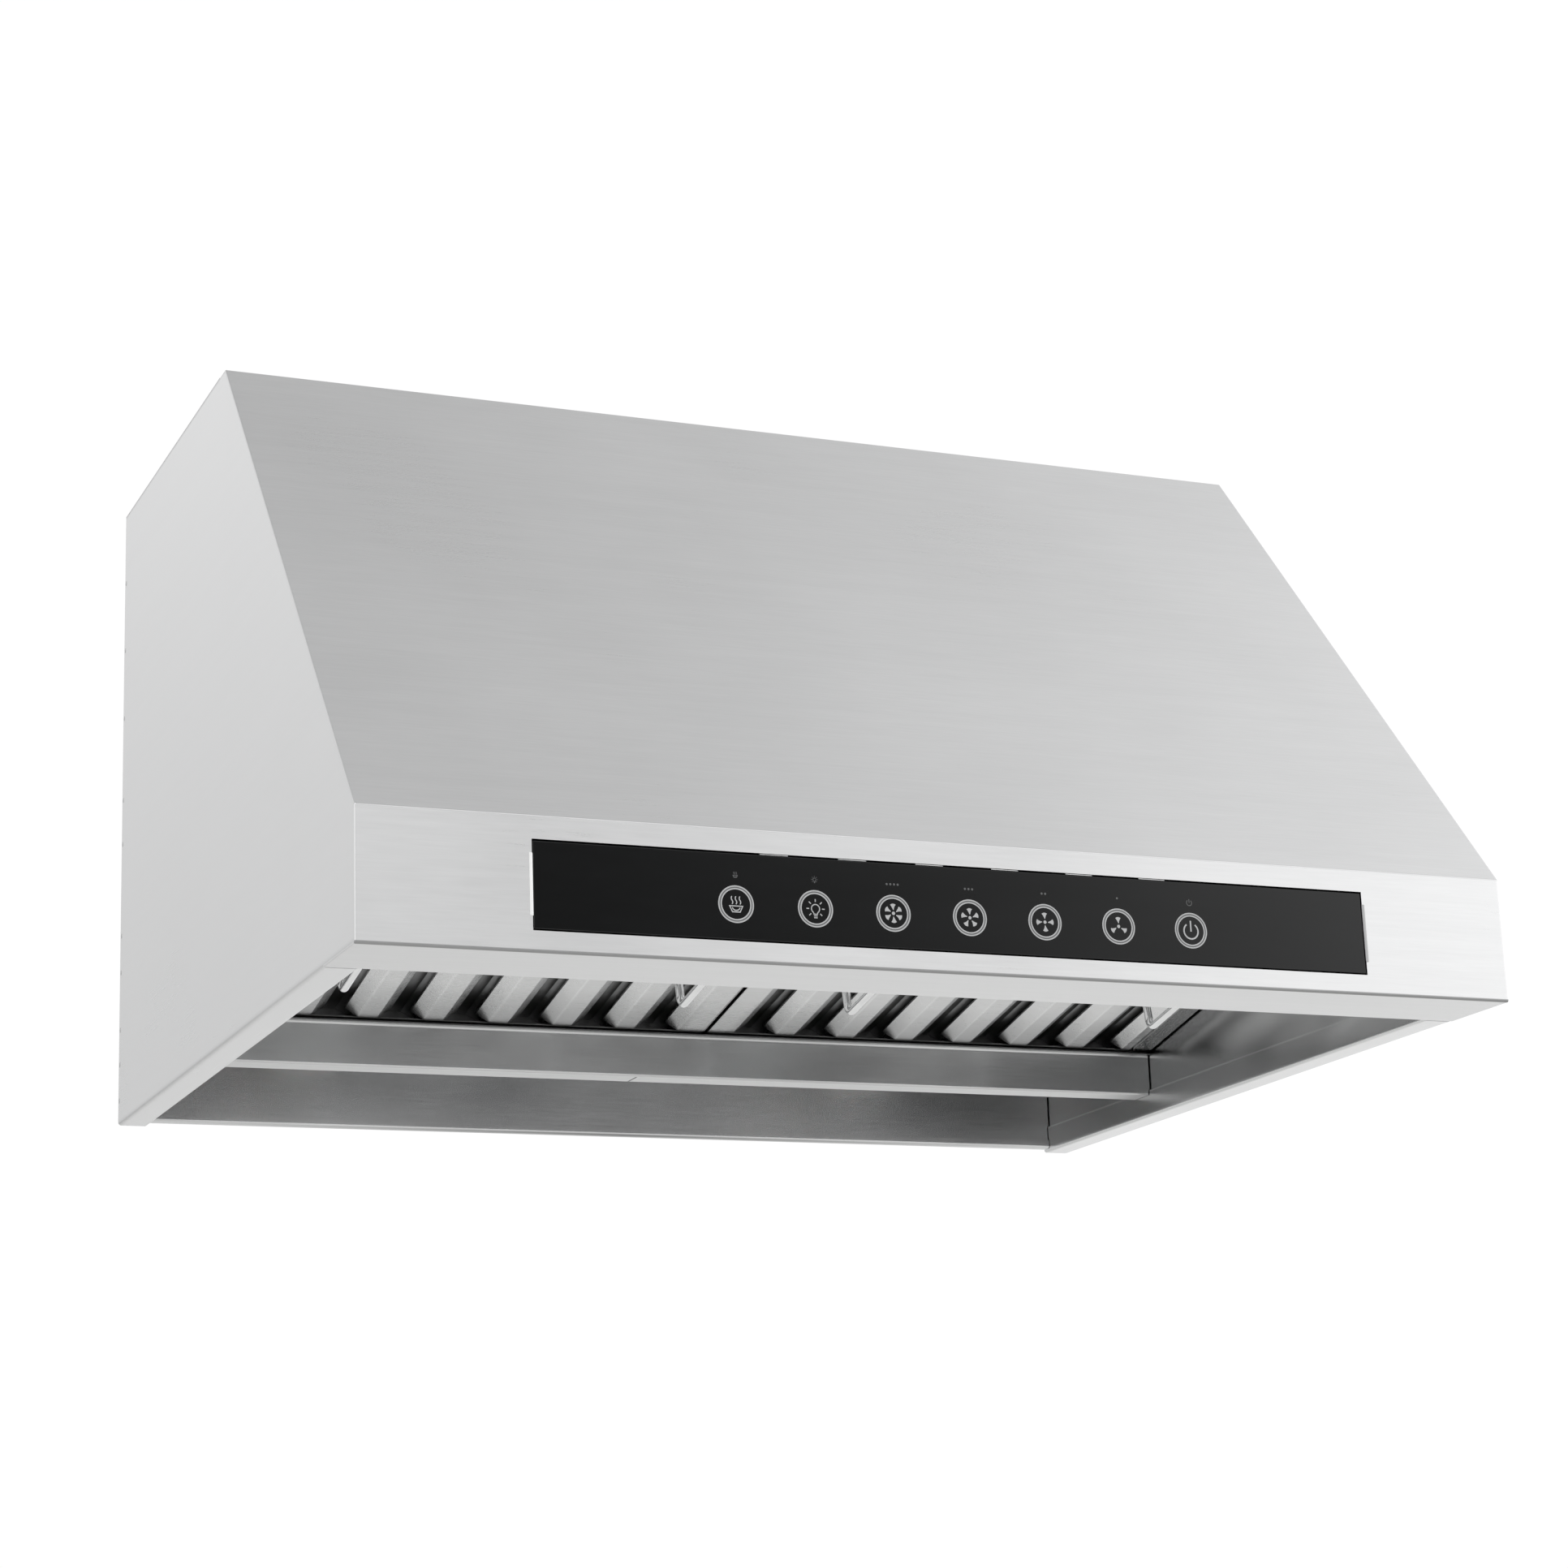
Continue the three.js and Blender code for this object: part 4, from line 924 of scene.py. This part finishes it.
def filter_pieces(name, side):
    low, high = sorted((side * FILTER_INNER_X, side * FILTER_OUTER_X))
    front = -FILTER_LENGTH
    front_rail = folded([(front + 9, 0), (front, 0), (front, FILTER_HEIGHT),
                         (front + 12, FILTER_HEIGHT)], [1.6, 1.6], 1.0, -1, low, high, support=1.2)
    rear_rail = folded([(1.5, RAIL_STEP), (FILTER_BEHIND, RAIL_STEP), (FILTER_BEHIND, FILTER_HEIGHT),
                        (FILTER_BEHIND - 12, FILTER_HEIGHT)], [1.6, 1.6], 1.0, 1, low, high,
                       support=1.2)
    side_rails = [*filter_rail(low, 1), *filter_rail(high, -1)]
    lower, upper = filter_slats(name, side, low, high)
    dome = [(0, -0.9), (1.1, -0.75), (1.9, -0.35), (2.1, 0.0), (2.1, 0.2), (0, 0.2)]
    centres = [FIRST_SLAT[name] + i * SLAT_PITCH for i in range(SLATS)]
    rivets = [turned(dome, (min(max(x, low + 6), high - 6), front + 5, 0), "z", 24) for x in centres]

    def part(kind, bm, finish, **more):
        piece(f"filter_{name}_{kind}", bm, finish, f"{name}_filter", "stainless_filter",
              [f"filter_{name}"], place=SLOPING, **more)

    part("frame", together(front_rail, *side_rails), STEEL["filter_frame"])
    part("rear_rail", rear_rail, STEEL["rear_rail"])
    part("lower_slats", lower, STEEL["slat"], bevel=0.1)
    part("upper_slats", upper, STEEL["upper_slat"], bevel=0.1, grain=(0, 1, 0))
    part("lugs", handle_lugs(name), STEEL["slat"], bevel=0.15)
    part("rivets", together(*rivets), CHROME, bevel=0)


def handle_route(x):
    """The bent wire: two ends turned in through the lugs, two legs and a grip."""
    top = -HANDLE_AXIS
    low = -HANDLE_GRIP
    rear = -HANDLE_REAR
    fore = rear - HANDLE_SPAN
    corners = [(rear - 10, top), (rear, top), (rear, low), (fore, low), (fore, top), (fore + 10, top)]
    route = rounded(corners, [4.2, 7, 7, 4.2], steps=10, support=0.8)
    return [(x, point.x, point.y) for point, _ in route]


def handles():
    for name, _ in SIDES:
        for i, x in enumerate(HANDLE_X[name], 1):
            piece(f"{name}_handle_{i}_wire", tube(handle_route(x), HANDLE_WIRE, 24), CHROME,
                  f"{name}_handle_{i}", "chrome_wire", [f"filter_{name}_handle_{i}"],
                  place=SLOPING, bevel=0)


# ---- touch panel

def control_panel():
    glass = block(GLASS_LOW, GLASS_HIGH)
    piece("touch_glass", glass, GLASS, "hood", "black_glass", ["control_glass"], bevel=0.45)
    # Left tab: painted highlight; right tab: painted shade.
    for name, side, finish in (("left", -1, LIT_TAB), ("right", 1, SHADED_TAB)):
        x = side * (GLASS_HIGH.x + WINDOW_END_GAP + TAB_OUT)
        piece(f"glass_tab_{name}", block((x - 1.0, -0.45, 21), (x + 1.0, 0.6, 58)), finish,
              "hood", "stainless_shell", bevel=0.42, grain=(0, 0, 1))
    low, high = GLASS_HIGH.z + 0.25, GLASS_HIGH.z + 0.7
    clips = [block((x - 9, 0.5, low), (x + 9, 1.6, high))
             for x in ((i - (CLIPS - 1) / 2) * KEY_PITCH for i in range(CLIPS))]
    piece("glass_clips", together(*clips), CHROME, "hood", "stainless_shell", bevel=0.1)


PRINT_FRONT = GLASS_LOW.y - 0.05
PRINT_BACK = GLASS_LOW.y + 0.02


def printed(outline):
    return prism(outline, PRINT_FRONT, PRINT_BACK)


def printed_ring(centre, inner, outer):
    """A thin washer between two circles."""
    bm = bmesh.new()
    corners = ((outer, PRINT_FRONT), (inner, PRINT_FRONT), (inner, PRINT_BACK), (outer, PRINT_BACK))
    loops = [[bm.verts.new((x, y, z)) for x, z in circle(centre, radius, 72)] for radius, y in corners]
    join_rows(bm, loops + loops[:1])
    return facing_out(bm)


def disc(centre, radius):
    return printed(circle(centre, radius, 24))


def stroke(points, width):
    """A line of even width along a list of points."""
    path = [(Vector(p), 0.0) for p in points]
    normals = normals_of(path, 1)
    left = [p + n * width / 2 for (p, _), n in zip(path, normals)]
    right = [p - n * width / 2 for (p, _), n in zip(path, normals)]
    return printed([tuple(p) for p in left + right[::-1]])


def fan_symbol(centre, blades):
    """A hub and petals that widen outwards and lean into the turn."""
    reach = 5.5
    root = 2.0
    marks = [disc(centre, 1.05)]
    for k in range(blades):
        turn = 90 + 360 * k / blades
        lead = []
        trail = []
        for step in range(9):
            share = step / 8
            radius = root + (reach - root) * share
            lead.append((radius, 4 + 17 * share ** 0.7))
            trail.append((radius, -7 - 10 * share ** 1.8))
        tip = [(reach + 0.35 * math.sin(math.pi * s / 8), 21 - 38 * s / 8) for s in range(1, 8)]
        polar = lead + tip + trail[::-1]
        angles = [(r, math.radians(a + turn)) for r, a in polar]
        marks.append(printed([(centre[0] + r * math.cos(t), centre[1] + r * math.sin(t))
                              for r, t in angles]))
    return marks


def line_symbol(lines, centre, scale, width):
    """Several lines, drawn around a centre at a scale."""
    return [stroke([(centre[0] + x * scale, centre[1] + z * scale) for x, z in points], width)
            for points in lines]


RAYS = [math.radians(-45 + 45 * k) for k in range(7)]
BULB = [
    arc((0, 0), 2.6, -58, 238),
    [(-1.35, -2.2), (-1.1, -3.3), (1.1, -3.3), (1.35, -2.2)],
    [(-1.1, -4.3), (1.1, -4.3)],
    [(-1.1, -5.4), (1.1, -5.4)],
    *[[(4.1 * math.cos(t), 4.1 * math.sin(t)), (5.8 * math.cos(t), 5.8 * math.sin(t))] for t in RAYS],
]
DISH = [
    [(0, -1.1), (4.1, -1.1), (2.4, -4.6), (-2.4, -4.6), (-4.1, -1.1), (0, -1.1)],
    arc((0, -1.1), 2.6, 200, 340),
    *[[(x + 0.45 * math.sin(2 * math.pi * k / 12), 4.7 * k / 12) for k in range(13)]
      for x in (-2.5, 0, 2.5)],
]
POWER = [
    arc((0, -0.3), 4.9, 126, 414),
    [(0, -0.6), (0, 6.2)],
]
DRAWN = {0: (DISH, 0.62), 1: (BULB, 0.62), 6: (POWER, 0.95)}
FAN_BLADES = {2: 6, 3: 5, 4: 4, 5: 3}


def touch_keys():
    """Seven keys in a row: warmer, light, four fan speeds and power, each in a double ring. Above
    each is a small dim mark: the symbol again, or dots for the fan's speed."""
    bright = []
    middle = []
    dim = []
    for i in range(KEYS):
        centre = ((i - (KEYS - 1) / 2) * KEY_PITCH, KEY_Z)
        above = (centre[0], MARK_Z)
        bright.append(printed_ring(centre, *RING_OUTER))
        bright.append(printed_ring(centre, *RING_INNER))
        middle.append(printed_ring(centre, RING_INNER[1], RING_OUTER[0]))
        if i in DRAWN:
            lines, width = DRAWN[i]
            bright += line_symbol(lines, centre, 1.0, width)
            dim += line_symbol(lines, above, 0.36, width * 0.5)
            continue
        bright += fan_symbol(centre, FAN_BLADES[i])
        level = FAN_BLADES[i] - 2
        for k in range(level):
            dim.append(disc((above[0] + (k - (level - 1) / 2) * 2.4, above[1]), 0.7))
    for name, marks, ink in (("key_symbols", bright, INK), ("key_ring_fill", middle, INK_MIDDLE),
                             ("key_level_marks", dim, INK_DIM)):
        piece(name, together(*marks), ink, "hood", "black_glass", bevel=0)


# ---- lights and lamps

def lights():
    for name, _ in SIDES:
        low, high = span(f"light_bezel_{name}")
        centre = ((low.x + high.x) / 2, (low.y + high.y) / 2, 0)
        top = LIGHT.z - 0.4
        bezel = [(24, top - 1.0), (24.6, top - 1.9), (26, top - 2.1), (28.6, top - 1.8),
                 (29.8, top - 1.0), (30, top), (25.5, top), (25.5, top + 5), (24, top + 5),
                 (24, top - 1.0)]
        piece(f"bezel_{name}", turned(bezel, centre, segments=96), CHROME, "hood", "chrome_wire",
              [f"light_bezel_{name}"], bevel=0)
        top = LIGHT.z
        lens = [(0, top - 2.4), (12, top - 2.3), (20, top - 1.9), (23, top - 1.2), (23.6, top - 0.4),
                (23.6, top + 1), (0, top + 1)]
        piece(f"lens_{name}", turned(lens, centre, segments=96), LENS, "hood", "frosted_lens",
              [f"light_lens_{name}"], bevel=0)


def warming_lamps():
    for name, side in SIDES:
        centre = (side * LAMP.x, LAMP.y, 0)
        face = [(0, 60), (8, 60.1), (16, 60.5), (22, 61.4), (27, 63), (30, 65.4), (31, 68.5), (31, 73),
                (30.3, 78), (28.6, 84), (26.2, 90), (22.5, 98), (18.4, 107), (15, 114), (13.6, 119),
                (13.3, 128), (13.2, 139), (12, 141.4), (0, 142)]
        piece(f"lamp_{name}", turned(face, centre, segments=80), HEAT_GLASS, "hood", "lamp_glass",
              [f"warming_lamp_{name}"], bevel=0)
        cup = [(14, 121), (15, 120.4), (18.2, 120.6), (19, 121.6), (19, 130), (18.2, 131), (18.2, 133),
               (19, 134), (19, 156.5), (17.5, 158), (0, 158), (0, 143), (14, 143), (14, 121)]
        piece(f"socket_{name}", turned(cup, centre, segments=64), CERAMIC, "hood", "porcelain",
              [f"lamp_socket_{name}"], bevel=0)


# ---- screws

def pan_head(place, facing, radius):
    """A domed screw head with a cross recess, facing the rear where facing is 1 and the front
    where it is -1."""
    dome = [(0, 1.9), (radius * 0.45, 1.75), (radius * 0.8, 1.25), (radius, 0.45), (radius, -0.2),
            (0, -0.2)]
    head = turned(dome, (0, 0, 0), "z", 32)
    slot = radius * 0.55
    for size in ((slot, 0.42), (0.42, slot)):
        head = cut(head, block((-size[0], -size[1], 0.8), (size[0], size[1], 3)))
    head.transform(Matrix.Translation(place) @ Matrix.Rotation(-math.pi / 2 * facing, 4, "X"))
    return head


def screws():
    places = [(x, z) for x in SCREW_COLUMNS for z in SCREW_ROWS]
    places += [(side * EDGE_SCREW_X, z) for z in EDGE_SCREW_ROWS for _, side in SIDES]
    heads = [pan_head((x, DEPTH + 0.1, z), 1, 3.4) for x, z in places]
    piece("back_screws", together(*heads), CHROME, "hood", "stainless_shell", bevel=0)
    covers = []
    for node in ("junction_box_cover", "power_unit_cover"):
        low, high = span(node)
        for x in (low.x + 8, high.x - 8):
            covers.append(pan_head((x, low.y - 0.05, (low.z + high.z) / 2), -1, 3.0))
    piece("cover_screws", together(*covers), CHROME, "hood", "galvanised_steel", bevel=0)


# ---- CAD pieces that stay

KEPT = {
    "top_panel": STEEL["top"],
    "control_board": BOARD,
    "control_housing": PLASTIC,
    "cable_bushing": PLASTIC,
    "motor_cable": SHEATH,
    "motor_body": ENAMEL,
    "motor_shaft": CHROME,
    "damper_pin": CHROME,
    "run_capacitor": CAST,
    "light_body_left": CAST,
    "light_body_right": CAST,
}


def dress_cad_pieces():
    """Every CAD piece that still shows gets its own finish: the blower, collar, boxes and
    brackets are galvanised."""
    for name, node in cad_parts.items():
        if node.hide_render:
            continue
        material = KEPT.get(name, ZINC)
        if not node.material_slots:
            node.data.materials.append(material)
        for slot in node.material_slots:
            slot.material = material


canopy_front()
for hand in SIDES:
    side_panel(*hand)
back_panel()
spot_welds()
inner_walls()
light_panel()
grease_trough()
lamp_shelf()
side_ledges()
for hand in SIDES:
    filter_pieces(*hand)
handles()
control_panel()
touch_keys()
lights()
warming_lamps()
screws()
dress_cad_pieces()


# ---- studio

FLOOR_RADIUS = 7.0
FLOOR_Z = -2.15
SKY_LEVEL = 1.03
CAMERA_PLACE = (-0.8888, -2.24525, -0.8715)
CAMERA_AHEAD = (0.38254, 0.88668, 0.25974)
CAMERA_UP = (-0.06741, -0.25359, 0.96496)
CAMERA_LENS = 78.55


def floor():
    """A large pale floor, well below the hood."""
    bm = bmesh.new()
    bmesh.ops.create_circle(bm, cap_ends=True, radius=FLOOR_RADIUS, segments=96)
    mesh = mesh_of(bm, "floor")
    made = Surface("pale_floor", (0.83, 0.83, 0.82), 0.85)
    speck = made.noise(3, 3.0, 0.5)
    made.shade(made.ranged(speck, 0.985, 1.01))
    mesh.materials.append(made.material)
    thing = in_scene("floor", mesh)
    thing.location = (0, 0, FLOOR_Z)


def sky():
    """White walls all round, brighter to the right and dimmer to the left behind the hood, with a
    greyer ceiling, a dim corner in front of the glass and a dark stretch low behind it."""
    world = bpy.data.worlds.new("studio")
    world.use_nodes = True
    bpy.context.scene.world = world
    nodes = world.node_tree.nodes
    links = world.node_tree.links
    direction = nodes.new("ShaderNodeTexCoord").outputs["Generated"]

    def toward(x, y, z, start, stop, low, high):
        """low to high as the direction comes closer to (x, y, z)."""
        dot = nodes.new("ShaderNodeVectorMath")
        dot.operation = "DOT_PRODUCT"
        links.new(direction, dot.inputs[0])
        dot.inputs[1].default_value = Vector((x, y, z)).normalized()
        ramp = nodes.new("ShaderNodeMapRange")
        ramp.interpolation_type = "SMOOTHSTEP"
        links.new(dot.outputs["Value"], ramp.inputs["Value"])
        set_range(ramp, start, stop, low, high)
        return ramp.outputs["Result"]

    def calculate(operation, *values):
        made = nodes.new("ShaderNodeMath")
        made.operation = operation
        for value, socket in zip(values, made.inputs):
            if isinstance(value, float):
                socket.default_value = value
            else:
                links.new(value, socket)
        return made.outputs[0]

    def product(first, *others):
        for other in others:
            first = calculate("MULTIPLY", first, other)
        return first

    def less(mask, depth):
        """1 where the mask is 0, and 1 - depth where it is 1."""
        return calculate("MULTIPLY_ADD", mask, -depth, 1.0)

    ceiling = toward(-0.15, 0, 1, 0.45, 0.97, 1.0, 0.46)
    across = toward(0.14, -0.99, 0, 0.84, 0.965, 0.0, 1.0)
    upright = toward(0, 0, 1, 0.05, 0.13, 0.0, 1.0)
    cleared = toward(0, 0, 1, 0.27, 0.36, 1.0, 0.0)
    dim_corner = less(product(across, upright, cleared), 0.9)
    bright_side = toward(0.85, -0.5, 0.12, -0.1, 0.95, 0.98, 1.34)
    left_back = toward(-0.3, 0.95, 0.0, 0.88, 0.99, 1.0, 0.68)
    below = toward(0, 0, -1, 0.0, 0.12, 0.0, 1.0)
    low_back = less(product(below, toward(0.8, 0.6, -0.1, 0.7, 0.95, 0.28, -0.06)), 1.0)
    level = product(ceiling, dim_corner, bright_side, left_back, low_back, SKY_LEVEL)
    background = nodes["Background"]
    links.new(level, background.inputs["Strength"])
    background.inputs["Color"].default_value = (1, 1, 1, 1)


def soft_light(name, place, target, size, power):
    light = bpy.data.lights.new(name, "AREA")
    light.shape = "RECTANGLE"
    light.size = size[0]
    light.size_y = size[1]
    light.energy = power
    thing = in_scene(name, light)
    thing.location = place
    thing.rotation_euler = (Vector(target) - Vector(place)).to_track_quat("-Z", "Y").to_euler()


def camera():
    """The photograph's viewpoint: in front, to the left and below, looking up."""
    data = bpy.data.cameras.new("camera")
    data.sensor_width = 36
    data.lens = CAMERA_LENS
    data.clip_end = 60
    thing = in_scene("camera", data)
    ahead = Vector(CAMERA_AHEAD).normalized()
    right = ahead.cross(Vector(CAMERA_UP).normalized()).normalized()
    up = right.cross(ahead)
    turn = Matrix((right, up, -ahead)).transposed().to_4x4()
    thing.matrix_world = Matrix.Translation(CAMERA_PLACE) @ turn
    bpy.context.scene.camera = thing


floor()
sky()
soft_light("key_light", (-1.6, -2.6, 2.4), (0, 0, -0.3), (1.6, 1.6), 30)
camera()
bpy.context.scene.view_settings.view_transform = "Standard"
